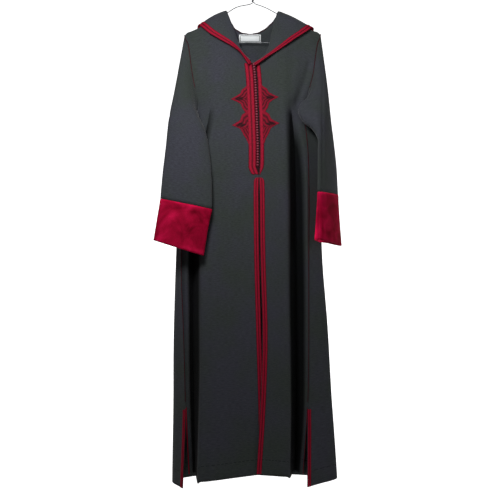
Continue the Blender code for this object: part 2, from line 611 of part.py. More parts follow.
even_turns = np.arange(2 * UNDERARM_ROW) * np.pi / UNDERARM_ROW
under_arm = np.sin(even_turns / 2) ** 10     # 1 at the underarm, nothing from a third of the way up
sleeves = {}
for hand, table, front, normal, edge in (("right", SLEEVE_RIGHT, right_front, right_normal, 0),
                                         ("left", SLEEVE_LEFT, left_front, left_normal, -1)):
    rings = sleeve_rings(table, armhole_loop(front[:, -1], back[:, edge]))
    turned = ring_normals(rings)
    body = armhole_loop(normal[:, -1], back_normal[:, edge])
    both = shared(turned[0], body)
    own = under_arm[:, None]
    body = shared(both * (1 - own), body * own)
    turned[0] = shared(both * (1 - own), turned[0] * own)
    normal[:UNDERARM_ROW + 1, -1] = body[:UNDERARM_ROW + 1]
    back_normal[UNDERARM_ROW, edge] = body[UNDERARM_ROW]
    back_normal[1:UNDERARM_ROW, edge] = body[:UNDERARM_ROW:-1]
    back_normal[0, edge] = body[0]
    sleeves[hand] = (rings, turned)


def edge_gap(rows):
    """The gap at a panel's side: half a seam's down to the side slit, then none."""
    return np.where(np.arange(rows) < SEWN_ROWS, SEAM_GAP / 2, 0.0)


side_gap = edge_gap(len(back))
cloth("front_right", inset(right_front, SEAM_GAP / 2, opening_gap, side_gap), right_normal)
cloth("front_left", inset(left_front, SEAM_GAP / 2, opening_gap, side_gap), left_normal)
cloth("back", inset(back, SEAM_GAP / 2, side_gap, side_gap), back_normal)
for hand, (rings, turned) in sleeves.items():
    gap = SEAM_GAP / 2 + UNDERARM_GAP * under_arm
    cloth(f"sleeve_{hand}", inset(rings.swapaxes(0, 1), first=gap).swapaxes(0, 1), turned, closed=True)
cuffs = {}
for hand, table in (("right", CUFF_RIGHT), ("left", CUFF_LEFT)):
    rings = tube_rings(table, np.linspace(0, 1, 3), even_turns)
    cuffs[hand] = rings
    cloth(f"cuff_{hand}", rings, ring_normals(rings), VELVET, VELVET_COLOUR, closed=True, roughness=0.9)


# ---- hood -----------------------------------------------------------------------------------------
def middle_tree(grids):
    """A search tree of the panels' middle surfaces, all of whose faces look outward."""
    points, faces = [], []
    for grid, outward in grids:
        rows, columns = grid.shape[:2]
        number = np.arange(rows * columns).reshape(rows, columns) + len(points)
        points.extend(tuple(point) for point in grid.reshape(-1, 3))
        quads = np.stack([number[:-1, :-1], number[1:, :-1], number[1:, 1:], number[:-1, 1:]], axis=-1)
        faces.extend(tuple(quad[::outward]) for quad in quads.reshape(-1, 4))
    return BVHTree.FromPolygons(points, faces)


panels_tree = middle_tree(((right_front, 1), (left_front, -1), (back, 1)))


def lifted(points, clearances):
    """Moves each point that is nearer than its clearance to the outside of the panels out to it."""
    result = points.copy()
    for index, (point, clearance) in enumerate(zip(points, clearances)):
        near, normal, _, distance = panels_tree.find_nearest(Vector(point))
        height = (Vector(point) - near).dot(normal)
        if height > 0.5 * distance:
            normal = (Vector(point) - near) / distance
        if distance < 40 and height < clearance:
            result[index] = near + normal * clearance
    return result


def settled(grid, clearances, passes):
    """Moves a grid off the panels by an evened-out shift, until the middles of its cells clear them too.

    clearances holds a least distance from the middle of the panels for each point of the grid.
    """
    shares = np.linspace(0, 1, 4)
    across, down = np.meshgrid(shares, shares)
    weights = np.stack([(1 - across) * (1 - down), across * (1 - down), across * down,
                        (1 - across) * down], axis=-1).reshape(-1, 4)
    shift = np.zeros_like(grid)
    for number in range(passes):
        moved = grid + shift
        push = np.zeros_like(grid)
        for row in range(len(grid) - 1):
            for column in range(grid.shape[1] - 1):
                places = ((row, row, row + 1, row + 1), (column, column + 1, column + 1, column))
                samples = weights @ moved[places]
                needed = weights @ clearances[places]
                moves = lifted(samples, needed) - samples
                for weight, corner in zip(weights.T, zip(*places)):
                    share = weight > 0.99 if corner[1] == 0 else np.minimum(1, 1.5 * weight)
                    wanted = moves * share[:, None]
                    furthest = wanted[np.linalg.norm(wanted, axis=1).argmax()]
                    if np.linalg.norm(furthest) > np.linalg.norm(push[corner]):
                        push[corner] = furthest
        shift = shift + push
        if number < passes - 2:
            padded = np.pad(shift, ((1, 1), (1, 1), (0, 0)), mode="edge")
            even = 0.5 * shift + 0.125 * (padded[:-2, 1:-1] + padded[2:, 1:-1]
                                          + padded[1:-1, :-2] + padded[1:-1, 2:])
            shift[:, 1:] = even[:, 1:]
    return grid + shift


def hood_grid():
    """Ribs from the neck seam across the shoulder, or down the back and up the pouch, to the face edge."""
    seam = np.vstack([right_front[0, :NECK_CELLS + 1], back[0, neck_start + 1:neck_end],
                      left_front[0, NECK_CELLS::-1]])
    away = np.vstack([right_normal[0, :NECK_CELLS + 1], back_normal[0, neck_start + 1:neck_end],
                      left_normal[0, NECK_CELLS::-1]])
    places = np.arange(1, len(seam) - 0.9, 0.5)
    known = np.arange(len(seam))
    seam = np.column_stack([np.interp(places, known, seam[:, axis]) for axis in range(3)])
    away = np.column_stack([np.interp(places, known, away[:, axis]) for axis in range(3)])
    away /= np.linalg.norm(away, axis=1, keepdims=True)
    rows = np.array(HOOD_RIGHT + HOOD_BACK + HOOD_LEFT, float)
    rows = read_table(np.arange(len(rows)), rows, np.linspace(0, len(rows) - 1, len(places)))
    far = len(known) - NECK_CELLS
    at_neck_side = np.interp(places, (NECK_CELLS - 4, NECK_CELLS, NECK_CELLS + 3, far - 4, far - 1, far + 3),
                             (0, 1, 0, 0, 1, 0))
    off_seam = CLOTH + SEAM_GAP + NECK_SIDE_OFF * at_neck_side
    t = np.linspace(0, 1, 201)[:, None]
    ribs = []
    for point, normal, off, (stand, pouch, *edge) in zip(seam, away, off_seam, rows):
        start = point + normal * off
        span = edge - start
        down = np.array([0, 0, 4 / 3]) * pouch
        deep = min(pouch, 100) / 100
        back_off = np.array([0, 1, 0]) * POUCH_OFF * deep
        rise = (stand + HOOD_CLEAR) * min(1, np.linalg.norm(span) / 60)
        nearer = start + 0.33 * span * (1 - 0.6 * deep) + normal * rise + down + back_off
        further = start + span * (0.67 + 0.33 * deep) + normal * stand + down + back_off
        reach = ((1 - t) ** 3 * start + 3 * t * (1 - t) ** 2 * nearer
                 + 3 * t * t * (1 - t) * further + t ** 3 * edge)
        length = length_along(reach)
        last = np.interp(length[-1] - min(HOOD_BRAID_WIDTH, 0.6 * length[-1]), length, t.ravel())
        places = np.append(np.linspace(0, last, HOOD_CELLS), 1.0)
        ribs.append(read_table(t.ravel(), reach, places))
    return np.array(ribs)


hood = hood_grid()
from_seam = np.array([length_along(rib) for rib in hood])
hood = settled(hood, np.minimum(HOOD_CLEAR, CLOTH + SEAM_GAP + HOOD_RISE * from_seam), 8)
hood_normal = face_normals(hood)
cloth("hood", hood, hood_normal)

over = CLOTH / 2 + LAY_GAP + BAND_EASE


def folded_band(before, edge, before_normal, edge_normal):
    """The four lines of a band folded over an edge: outer and inner faces of the band."""
    way = edge - before
    way /= np.linalg.norm(way, axis=1, keepdims=True)
    faces = []
    for side, beyond in ((over + BRAID, LAY_GAP + BRAID), (over, LAY_GAP)):
        tip = edge + way * beyond
        faces.append(np.stack([before + before_normal * side, tip + edge_normal * side,
                               tip - edge_normal * side, before - before_normal * side], axis=1))
    return faces


band = folded_band(hood[:, -2], hood[:, -1], hood_normal[:, -2], hood_normal[:, -1])
new_object("hood_braid", *wall_between(*band), BRAID_COLOUR)


# ---- what lies on the panels ----------------------------------------------------------------------
def surface(name):
    """A search tree of one finished object, for laying trim on it."""
    mesh = bpy.data.objects[name].data
    faces = [tuple(face.vertices) for face in mesh.polygons]
    return BVHTree.FromPolygons([tuple(point.co) for point in mesh.vertices], faces)


def laid(tree, across, drop, height, way=1.0):
    """The point that stands height off a surface met from the front (way 1) or from behind (-1)."""
    start = Vector((across * MM, -way, -drop * MM))
    found = tree.ray_cast(start, Vector((0, way, 0)))[0]
    if found is None:
        raise ValueError(f"nothing to lie on at across {across:.1f}, drop {drop:.1f}")
    return across, found.y / MM - way * height, drop


def plate(name, tree, rows, thickness, colour, heights=None):
    """A thin piece on a surface: rows of (drop, list of across); heights may raise each point."""
    outer, inner = [], []
    for index, (drop, places) in enumerate(rows):
        high = heights[index] if heights else [thickness] * len(places)
        outer.append([laid(tree, x, drop, LAY_GAP + rise) for x, rise in zip(places, high)])
        inner.append([laid(tree, x, drop, LAY_GAP) for x in places])
    return new_object(name, *wall_between(np.array(outer), np.array(inner)), colour)


right_tree, left_tree = surface("front_right"), surface("front_left")


def band_middle(drop):
    return float(np.interp(drop, right_front[:, 0, 2], right_front[:, 0, 0])) + BAND_SHIFT


right_rows, left_rows = [], []
for drop, reach in PLACKET_EDGE:
    middle = band_middle(drop)
    tilt = ORNAMENT_SKEW * reach
    close = np.clip((drop - 588) / (PLACKET_FOOT - 588), 0, 1)
    inner_edge = middle - 0.6 + close * (-BAND_SHIFT - 0.4)
    outer_edge = min(middle - reach, inner_edge - 2.5)
    right_rows.append((drop - tilt, list(np.linspace(outer_edge, inner_edge, 4))))
    inner_edge = middle - BAND_SHIFT + 1.0
    outer_edge = max(middle + reach, inner_edge + 2.5)
    left_rows.append((drop + tilt, list(np.linspace(inner_edge, outer_edge, 4))))
plate("placket_right", right_tree, right_rows, BRAID, BRAID_COLOUR)
plate("placket_left", left_tree, left_rows, BRAID, BRAID_COLOUR)

rows, heights = [], []
for index in range(2 * BUTTON_COUNT + 1):
    drop = PLACKET_TOP + index * BUTTON_PITCH / 2
    start = band_middle(drop) + 0.4
    rows.append((drop, [start, start + BUTTON_WIDTH / 2, start + BUTTON_WIDTH]))
    heights.append([BRAID, BUTTON_HEIGHT if index % 2 else BRAID, BRAID])
plate("button_row", right_tree, rows, BRAID, BUTTON_COLOUR, heights)


def slit_rows(panel, way):
    """Rows of a braid along the slit: a quarter arch at the top, then an even strip."""
    rows = []
    edge_drops = panel[:, 0, 2]
    drops = SLIT_TOP + np.array([1.5, 4, 8, SLIT_BRAID_WIDTH])
    drops = np.concatenate([drops, [drop for drop in edge_drops if drop > SLIT_TOP + 25][:-1],
                            [edge_drops[-1] - 1.5]])
    for drop in drops:
        edge = float(np.interp(drop, edge_drops, panel[:, 0, 0])) + way * 1.0
        into = np.clip((SLIT_TOP + SLIT_BRAID_WIDTH - drop) / SLIT_BRAID_WIDTH, 0, 0.98)
        width = SLIT_BRAID_WIDTH * np.sqrt(1 - into ** 2)
        rows.append((drop, [edge, edge + way * width] if way > 0 else [edge - width, edge]))
    return rows


plate("slit_braid_right", right_tree, slit_rows(right_front, -1), BRAID, BRAID_COLOUR)
plate("slit_braid_left", left_tree, slit_rows(left_front, 1), BRAID, BRAID_COLOUR)


def side_braid(name, panel, normal, edge, neighbour):
    """A braid on a panel's side edge below the side slit."""
    rows = slice(SEWN_ROWS - 1, None)
    outside = panel[rows, edge]
    way = panel[rows, neighbour] - outside
    reach = np.linalg.norm(way, axis=1, keepdims=True)
    way = way / reach
    line = outside + way * 0.5
    inside = outside + way * np.minimum(SIDE_BRAID_WIDTH, reach - 0.5)
    strip = np.stack([line, inside], axis=1)
    turned = np.stack([normal[rows, edge], normal[rows, edge]], axis=1)
    faces = [strip + turned * height for height in (over + BRAID, over)]
    return new_object(name, *wall_between(*faces), BRAID_COLOUR)


side_braid("side_braid_front_right", right_front, right_normal, -1, -2)
side_braid("side_braid_front_left", left_front, left_normal, -1, -2)
side_braid("side_braid_back_right", back, back_normal, 0, 1)
side_braid("side_braid_back_left", back, back_normal, -1, -2)

cord_lift = CLOTH / 2 + LAY_GAP + CORD_RADIUS
for hand, edge, front, normal in (("right", 0, right_front, right_normal),
                                  ("left", -1, left_front, left_normal)):
    rows = slice(UNDERARM_ROW + 1, SEWN_ROWS)
    line = back[rows, edge] + cord_lift * back_normal[rows, edge]
    line[-1] = line[-2] + CORD_END * (line[-1] - line[-2])
    rod(f"side_cord_{hand}", line, CORD_RADIUS, 5, BRAID_COLOUR, up=back_normal[rows, edge])
    line = np.vstack([front[UNDERARM_ROW - 2:0:-1, -1], back[0:UNDERARM_ROW - 1, edge]])
    out = np.vstack([normal[UNDERARM_ROW - 2:0:-1, -1], back_normal[0:UNDERARM_ROW - 1, edge]])
    rod(f"armhole_cord_{hand}", line + (cord_lift + 0.5) * out, CORD_RADIUS, 5, BRAID_COLOUR, up=out)

neck = slice(neck_start + 1, neck_end)
line = 0.5 * (back[0, neck] + back[1, neck]) - (cord_lift + 0.5) * back_normal[1, neck]
rod("neck_cord", line[1:-1], CORD_RADIUS, 5, BRAID_COLOUR, up=back_normal[1, neck][1:-1])

back_tree = surface("back")
rows = [(LABEL_TOP + LABEL_HEIGHT * part, list(LABEL_LEFT + LABEL_WIDTH * np.linspace(0, 1, 5)))
        for part in (0, 0.5, 1)]
faces = [np.array([[laid(back_tree, x, drop, height) for x in places] for drop, places in rows])
         for height in (LAY_GAP + 0.6 + LABEL_THICKNESS, LAY_GAP + 0.6)]
new_object("label", *wall_between(*faces), LABEL_COLOUR)


# ---- hanger ---------------------------------------------------------------------------------------
def hanger_hook():
    """The hook, open to one side, and its straight stem."""
    middle = HOOK_RADIUS - WIRE_RADIUS
    turn = np.radians(np.linspace(205, -48, 26))
    arc = np.column_stack([HOOK_RADIUS * np.cos(turn), 0 * turn, middle - HOOK_RADIUS * np.sin(turn)])
    bend = arc[-1]
    ease = np.linspace(0, 1, 7)[1:, None]
    target = np.array([0, 0, 52.0])
    curve = ((1 - ease) ** 2 * bend + 2 * ease * (1 - ease) * np.array([0.0, 0, 44.0]) + ease ** 2 * target)
    stem = np.array([[0, 0, drop] for drop in (60.0, 67.0, TWIST_FOOT)])
    return rod("hanger_hook", np.vstack([arc, curve, stem]), WIRE_RADIUS, 8, WIRE_COLOUR, 0.35, 1.0)


def hanger_frame():
    """Shoulders, rounded ends and bar in one wire, whose tail winds up round the stem."""
    def lift(points):
        return [(x, 0.0, drop) for x, drop in points]
    left = lift(LEFT_ARM) + lift(FRAME_END)
    right = lift((-x, drop) for x, drop in FRAME_END[::-1]) + lift(RIGHT_ARM[::-1])
    start = (-1.2, 0, TWIST_FOOT + 2.4)
    loop = smooth_path([start] + left + [(-90, 0, BAR_DROP), (90, 0, BAR_DROP)] + right, 11.0)
    turn = np.linspace(0, TWIST_TURNS * 2 * np.pi, int(TWIST_TURNS * 9) + 1)
    around = 2 * WIRE_RADIUS + 0.5
    rise = np.linspace(TWIST_FOOT, TWIST_TOP, len(turn))
    tail = np.column_stack([around * np.cos(turn), around * np.sin(turn), rise])
    return rod("hanger_frame", np.vstack([loop, tail]), WIRE_RADIUS, 6, WIRE_COLOUR, 0.35, 1.0)


hanger_hook()
hanger_frame()
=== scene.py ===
"""A long hooded djellaba hung on a bent-wire hanger.

Lengths are in millimetres and places are (across, depth, drop): across runs to the left of whoever
wears the robe, depth to its back, and drop is the way down from the inside top of the hanger's hook.
"right" and "left" are the wearer's.
"""

import bpy
import numpy as np
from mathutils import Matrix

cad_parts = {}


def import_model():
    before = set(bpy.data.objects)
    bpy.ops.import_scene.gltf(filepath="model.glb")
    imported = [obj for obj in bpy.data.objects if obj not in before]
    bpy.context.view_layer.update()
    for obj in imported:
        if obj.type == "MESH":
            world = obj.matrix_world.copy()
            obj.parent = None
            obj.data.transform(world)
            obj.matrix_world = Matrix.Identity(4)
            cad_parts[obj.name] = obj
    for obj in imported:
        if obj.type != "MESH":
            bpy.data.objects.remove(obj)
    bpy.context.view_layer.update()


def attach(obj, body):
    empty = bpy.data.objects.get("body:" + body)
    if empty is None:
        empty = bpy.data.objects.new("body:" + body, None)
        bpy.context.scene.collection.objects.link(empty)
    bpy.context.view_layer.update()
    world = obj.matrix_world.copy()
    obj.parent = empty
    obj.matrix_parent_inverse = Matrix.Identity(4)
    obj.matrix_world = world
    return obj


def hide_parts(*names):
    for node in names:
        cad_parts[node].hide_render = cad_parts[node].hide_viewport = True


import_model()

# ---- Camera, light and backdrop -------------------------------------------------------------------
# The robe is seen from straight in front, a little over two metres away. A soft light stands before
# the chest, a little to the wearer's right, so the hem falls away into the dark. Weaker ones stand
# low on the other side and high behind.
MM = 0.001
EYE = (-9.0, -2200.0, 842.0)
VIEW_WIDTH = 1550.0                    # what the camera takes in at the hanger's plane
SWEEP_FLOOR, SWEEP_BACK, SWEEP_BEND = 1760.0, 2700.0, 350.0
SWEEP_HALF, SWEEP_FRONT, SWEEP_HIGH = 2500.0, -900.0, -1600.0
PAPER_LIT = (0.2, 0.42)                # metres behind the robe over which the paper's own light rises
# Name, place, size and watts of each light; all of them point at LIGHT_AIM
LIGHTS = (("key", (-240, -860, 100), 300, 9.3), ("fill", (1200, -800, 560), 600, 2.6),
          ("top", (-80, 500, -900), 900, 0.8))
LIGHT_AIM = (0, 0, 620)
ROOM_LIGHT = 0.06


def world(points):
    """Metres with Z up, from (across, depth, drop) in millimetres."""
    return np.asarray(points, float) * [MM, MM, -MM]


def linear(colour):
    """An sRGB hex colour as linear red, green, blue and alpha."""
    parts = np.array([int(colour[at:at + 2], 16) for at in (1, 3, 5)]) / 255
    parts = np.where(parts <= 0.04045, parts / 12.92, ((parts + 0.055) / 1.055) ** 2.4)
    return (*parts.tolist(), 1.0)


def new_material(name, **values):
    """A material whose shader's own sockets take the values; a hex colour is turned linear."""
    material = bpy.data.materials.new(name)
    material.use_nodes = True
    sockets = material.node_tree.nodes["Principled BSDF"].inputs
    for socket, value in values.items():
        value = linear(value) if isinstance(value, str) else value
        sockets[socket.replace("_", " ")].default_value = value
    return material


def add_node(material, kind, inputs=(), stops=(), **settings):
    """Adds a node with its settings and links; an input is given a value or another node's output, and a
    ramp its stops, each a position and a hex colour."""
    node = material.node_tree.nodes.new(kind)
    for name, value in settings.items():
        setattr(node, name, value)
    for name, value in dict(inputs).items():
        if isinstance(value, bpy.types.NodeSocket):
            material.node_tree.links.new(value, node.inputs[name])
        else:
            node.inputs[name].default_value = value
    if stops:
        elements = node.color_ramp.elements
        for element, (place, tone) in zip(elements, (stops[0], stops[-1])):
            element.position, element.color = place, linear(tone)
        for place, tone in stops[1:-1]:
            elements.new(place).color = linear(tone)
    return node


def shader_takes(material, **sources):
    """Links outputs to the shader's own sockets."""
    sockets = material.node_tree.nodes["Principled BSDF"].inputs
    for socket, source in sources.items():
        material.node_tree.links.new(source, sockets[socket.replace("_", " ")])


def new_mesh(name, points, faces, material, uv=None, **shares):
    """An object at the origin, in metres, smooth shaded, from points in millimetres.

    uv is its map in metres, for each corner of a face, and shares are numbers for each point, which
    are kept in attributes of their own names.
    """
    mesh = bpy.data.meshes.new(name)
    mesh.from_pydata(world(points).tolist(), [], [list(face) for face in faces])
    mesh.shade_smooth()
    mesh.materials.append(material)
    if uv is not None:
        mesh.uv_layers.new(name="cut").data.foreach_set("uv", uv.ravel())
    for label, share in shares.items():
        if share is not None:
            mesh.attributes.new(label, "FLOAT", "POINT").data.foreach_set("value", share.ravel())
    thing = bpy.data.objects.new(name, mesh)
    bpy.context.scene.collection.objects.link(thing)
    return thing


def grid_cells(rows, columns):
    """The corners of each cell of a grid, in order round it, numbered along the rows."""
    number = np.arange(rows * columns).reshape(rows, columns)
    corners = [number[:-1, :-1], number[1:, :-1], number[1:, 1:], number[:-1, 1:]]
    return np.stack(corners, axis=-1).reshape(-1, 4)


camera = bpy.data.objects.new("camera", bpy.data.cameras.new("camera"))
camera.data.lens = camera.data.sensor_width * -EYE[1] / VIEW_WIDTH
camera.location = world(EYE)
camera.rotation_euler = (np.pi / 2, 0, 0)
bpy.context.scene.collection.objects.link(camera)
bpy.context.scene.camera = camera

for light_name, place, across, power in LIGHTS:
    light = bpy.data.objects.new(light_name, bpy.data.lights.new(light_name, "AREA"))
    light.data.size = across * MM
    light.data.energy = power
    light.location = world(place)
    towards = world(LIGHT_AIM) - world(place)
    flat = np.hypot(towards[0], towards[1])
    light.rotation_euler = (np.pi / 2 + np.arctan2(towards[2], flat), 0,
                            np.arctan2(towards[1], towards[0]) - np.pi / 2)
    bpy.context.scene.collection.objects.link(light)
surround = bpy.data.worlds.new("studio")
surround.use_nodes = True
surround.node_tree.nodes["Background"].inputs["Color"].default_value = linear("#FFFFFF")
surround.node_tree.nodes["Background"].inputs["Strength"].default_value = ROOM_LIGHT
bpy.context.scene.world = surround
bpy.context.scene.view_settings.view_transform = "Standard"

bend = np.linspace(0, np.pi / 2, 24)
profile = np.column_stack([SWEEP_BACK - SWEEP_BEND * (1 - np.sin(bend)),
                           SWEEP_FLOOR - SWEEP_BEND * (1 - np.cos(bend))])
profile = np.vstack([[SWEEP_FRONT, SWEEP_FLOOR], profile, [SWEEP_BACK, SWEEP_HIGH]])
sweep = np.array([[(side, depth, drop) for depth, drop in profile]
                  for side in (-SWEEP_HALF, SWEEP_HALF)])
# The wall of the sweep is lit to white from behind it, and the floor under the robe is not
paper = new_material("matt_white_paper", Base_Color="#F4F4F4", Roughness=1.0, Emission_Color="#FFFFFF")
paper_place = add_node(paper, "ShaderNodeTexCoord").outputs["Object"]
back_way = add_node(paper, "ShaderNodeSeparateXYZ", {"Vector": paper_place}).outputs["Y"]
lit_share = add_node(paper, "ShaderNodeMapRange", {"Value": back_way, "From Min": PAPER_LIT[0],
                     "From Max": PAPER_LIT[1]}).outputs[0]
shader_takes(paper, Emission_Strength=lit_share)
new_mesh("paper_sweep", sweep.reshape(-1, 3), grid_cells(2, len(profile)), paper)


# ---- Fronts and back ------------------------------------------------------------------------------
# Three long panels of a fine dark grey wool-like cloth, sewn together at the shoulders and down the
# sides as far as the side slits. They hang from the wire over a small roll, and fall in a deep fold
# behind each sleeve. Each panel is a net of rows down the cloth and columns across it.
CLOTH = 1.4
LEFT_ARM = ((-6, 79), (-49, 89), (-75, 104), (-102, 123), (-127, 139.5), (-164, 157), (-190, 169))
RIGHT_ARM = ((4.5, 78), (37, 90), (68, 106), (96, 122), (121, 136.5), (160, 155.5), (190, 169))
SHOULDER_ROLL = 5.0     # radius of the cloth over the hanger's wire
NECK_EASE = 8.0         # cloth between the first rows where there is no roll
ROLL_ROWS = ((np.sqrt(0.5), 1 - np.sqrt(0.5), 0.5), (1.0, 1.0, 1.0))    # out, down, eased down
ON_WIRE = 4.2           # the middle of the cloth above the middle of the wire
# Seam of the hood, from the point of the neck up to the shoulder: across, depth, drop
NECK_RIGHT = ((8, -17, 262), (-6, -17, 257), (-24, -16, 243), (-42, -14, 213), (-53, -12, 180),
              (-66, -9.5, 143), (-77.5, -8.5, 112.5), (-80, 0, 103))
NECK_LEFT = ((8, -17, 262), (20, -17, 256.5), (38, -16, 238), (50, -14, 212), (57, -12, 178),
             (64.5, -9.5, 145), (73.5, -8.5, 114), (76, 0, 105.5))
NECK_BACK = ((-80, 0, 103), (-77.5, 8, 111.5), (-69, 8, 132), (-56, 9, 152), (-34, 10, 165),
             (-8, 11, 168.5), (17, 10, 164), (40, 9, 151.5), (61, 8, 132), (73.5, 8, 113.5),
             (76, 0, 105.5))
SHOULDER_POINT_RIGHT = (-211, 0, 177)
SHOULDER_POINT_LEFT = (209, 0, 175)
UNDERARM_DROP = 405.0
# Armhole seam below the shoulder: across, depth of the front one, depth of the back one, drop
ARMHOLE_RIGHT = ((-211, -5, 5, 182), (-200, -9, 8, 207), (-193, -13, 13, 253), (-184, -15, 15, 315),
                 (-173, -11, 9, 368), (-165, -6, 0, 405))
ARMHOLE_LEFT = ((209, -5, 5, 180), (199, -9, 8, 207), (192, -13, 13, 253), (180, -15, 15, 325),
                (166, -11, 9, 372), (155, -6, 0, 405))

# The wearer's right front: drop, then (across, depth) of the opening, fold edge, fold floor, lip, seam
FRONT_RIGHT = (
    (405, (17, -29), (-112, -25), (-131, -18), (-146, -12), (-165, -4)),
    (445, (19, -33), (-119, -28), (-138, -15), (-152, -14), (-171, -8)),
    (520, (21, -38), (-136, -33), (-154, -10), (-167, -17), (-186, -12)),
    (700, (19, -45), (-149, -43), (-176, -2), (-191, -24), (-206, -18)),
    (873, (21, -50), (-158, -51), (-186, 6), (-202, -34), (-219, -26)),
    (1100, (27, -60), (-158, -59), (-186, 12), (-198, -38), (-211, -33)),
    (1323, (33, -69), (-160, -68), (-184, 18), (-194, -40), (-205, -35)),
    (1540, (36, -79), (-166, -80), (-181, 22), (-188, -14), (-198, -4)),
)
# The left front, the same columns
FRONT_LEFT = (
    (405, (17, -29), (97, -29), (116, -18), (134, -12), (155, -4)),
    (445, (19, -33), (100, -33), (122, -11), (142, -12), (160, -8)),
    (520, (21, -38), (103, -37), (130, 2), (156, -16), (168, -13)),
    (700, (19, -45), (106, -43), (135, 10), (165, -24), (171, -20)),
    (873, (21, -51), (107, -48), (136, 14), (165, -28), (170, -26)),
    (1100, (27, -66), (109, -57), (137, 20), (165, -33), (170, -33)),
    (1323, (20.5, -76), (112, -66), (137, 25), (162, -36), (166.5, -37)),
    (1540, (8, -86), (108, -78), (131, 28), (150, -8), (156, -10)),
)
# Back, from the right side seam to the left one: side fold, hollow, ridge, hollow, side fold
BACK = (
    (405, (-165, -4), (-166, 10), (-97, 26), (-10, 30), (76, 26), (157, 10), (155, -4)),
    (445, (-171, -8), (-184, 12), (-97, 27), (-10, 33), (78, 27), (193, 12), (160, -8)),
    (520, (-186, -12), (-215, 12), (-100, 28), (-10, 38), (85, 28), (214, 14), (168, -13)),
    (700, (-206, -18), (-235, 10), (-105, 28), (-10, 46), (95, 28), (216, 12), (171, -20)),
    (873, (-219, -26), (-244, 8), (-110, 28), (-12, 54), (100, 28), (222, 10), (170, -26)),
    (1100, (-211, -33), (-252, 8), (-115, 26), (-15, 62), (108, 26), (241, 8), (170, -33)),
    (1323, (-205, -35), (-256, 10), (-120, 24), (-18, 70), (114, 24), (256, 8), (166.5, -37)),
    (1540, (-213, -42), (-260, 12), (-125, 20), (-20, 78), (120, 20), (272, 8), (165, -43)),
)
# How far each turn is rounded, along the cloth, at the underarm and at the hem
FRONT_ROUNDING = ((8, 7), (4, 12), (4, 4))
BACK_ROUNDING = ((8, 22), (20, 55), (25, 60), (20, 55), (8, 22))
CUT_SHARE = 0.45        # of a run, the most that a rounding may take at its end
# Drop of the hem at each named line
HEM_RIGHT = (1512, 1541, 1533, 1532, 1534)
HEM_LEFT = (1512, 1524, 1532, 1532, 1534)
HEM_BACK = (1567, 1561, 1545, 1548, 1545, 1550, 1563)
HEM_START = 1145.0      # below this the rows slope over towards the hem's own line
OPENING_X = ((262, 8), (315, 13), (377, 16), (439, 18.5), (501, 20.5), (563, 21), (620, 18.5),
             (700, 19))
SLIT_TOP = 620.0        # of the front slit
SLIT_EDGE = 1.3         # each edge stands this far from the opening line
SIDE_SLIT_TOP = 1323.0
BODY_DROPS = (405, 440, 480, 525, 572, 620, 665, 720, 785, 850, 920, 995, 1070, 1145, 1220, 1280, 1323,
              1385, 1450, 1500, 1540)
SIDE_PULL = 1.6         # how near to the armhole its own shape is kept
DEPTH_EASE = 1.5        # the chest stands out sooner than an even slope would
UPPER_STEPS = (0.0, 0.1, 0.24, 0.4, 0.56, 0.72, 0.87)
FRONT_INNER = (7, 1, 1, 1)             # columns inside each stretch between two folds
BACK_INNER = (1, 1, 1, 1, 1, 1)
NECK_CELLS = len(NECK_RIGHT) - 1
UNDERARM_ROW = 2 + len(UPPER_STEPS)
SEWN_ROWS = UNDERARM_ROW + sum(drop <= SIDE_SLIT_TOP for drop in BODY_DROPS)
SEAM_GAP = 0.3


def read_table(knots, values, at):
    """Reads a table at new places on cubic curves. Their slope at a row is the mean of the runs on both
    sides, but 0 at a turning row and never over three times either run, so they don't overshoot."""
    knots, values, at = np.asarray(knots, float), np.asarray(values, float), np.asarray(at, float)
    shape = values.shape[1:]
    values = values.reshape(len(knots), -1)
    step = np.diff(knots)[:, None]
    rise = np.diff(values, axis=0) / step
    before, after = np.vstack([rise[:1], rise]), np.vstack([rise, rise[-1:]])
    limit = 3 * np.minimum(np.abs(before), np.abs(after))
    slope = np.where(before * after <= 0, 0, np.clip(0.5 * (before + after), -limit, limit))
    cell = np.clip(np.searchsorted(knots, at, side="right") - 1, 0, len(knots) - 2)
    t = ((at - knots[cell]) / np.diff(knots)[cell])[:, None]
    size = step[cell]
    result = ((1 + 2 * t) * (1 - t) ** 2 * values[cell] + t * (1 - t) ** 2 * size * slope[cell]
              + t * t * (3 - 2 * t) * values[cell + 1] + t * t * (t - 1) * size * slope[cell + 1])
    return result.reshape((len(at),) + shape)


def length_along(points):
    """Running length of a string of points."""
    return np.append(0.0, np.cumsum(np.linalg.norm(np.diff(points, axis=0), axis=1)))


def mean_run(net):
    """Running length down a net, over the mean of its columns."""
    return np.append(0.0, np.cumsum(np.linalg.norm(np.diff(net, axis=0), axis=2).mean(axis=1)))


def unit(ways):
    """Directions of length 1."""
    return ways / np.maximum(np.linalg.norm(ways, axis=-1, keepdims=True), 1e-9)


def rounded_section(corners, cuts, inner):
    """A string of straight runs whose inner corners are rounded by a parabola of three points.

    cuts says how far from each corner the rounding starts, and inner how many points each run holds
    between its two ends.
    """
    corners = np.asarray(corners, float)
    run = np.diff(corners, axis=0)
    length, way = np.linalg.norm(run, axis=1), unit(run)
    cut = np.minimum(cuts, CUT_SHARE * np.minimum(length[:-1], length[1:]))[:, None]
    enter, leave = corners[1:-1] - way[:-1] * cut, corners[1:-1] + way[1:] * cut
    bends = 0.25 * (enter + leave) + 0.5 * corners[1:-1]
    starts, ends = np.vstack([corners[:1], leave]), np.vstack([enter, corners[-1:]])
    points = []
    for index, count in enumerate(inner):
        points.extend(np.linspace(starts[index], ends[index], count + 2))
        points.extend(bends[index:index + 1])
    return np.array(points)


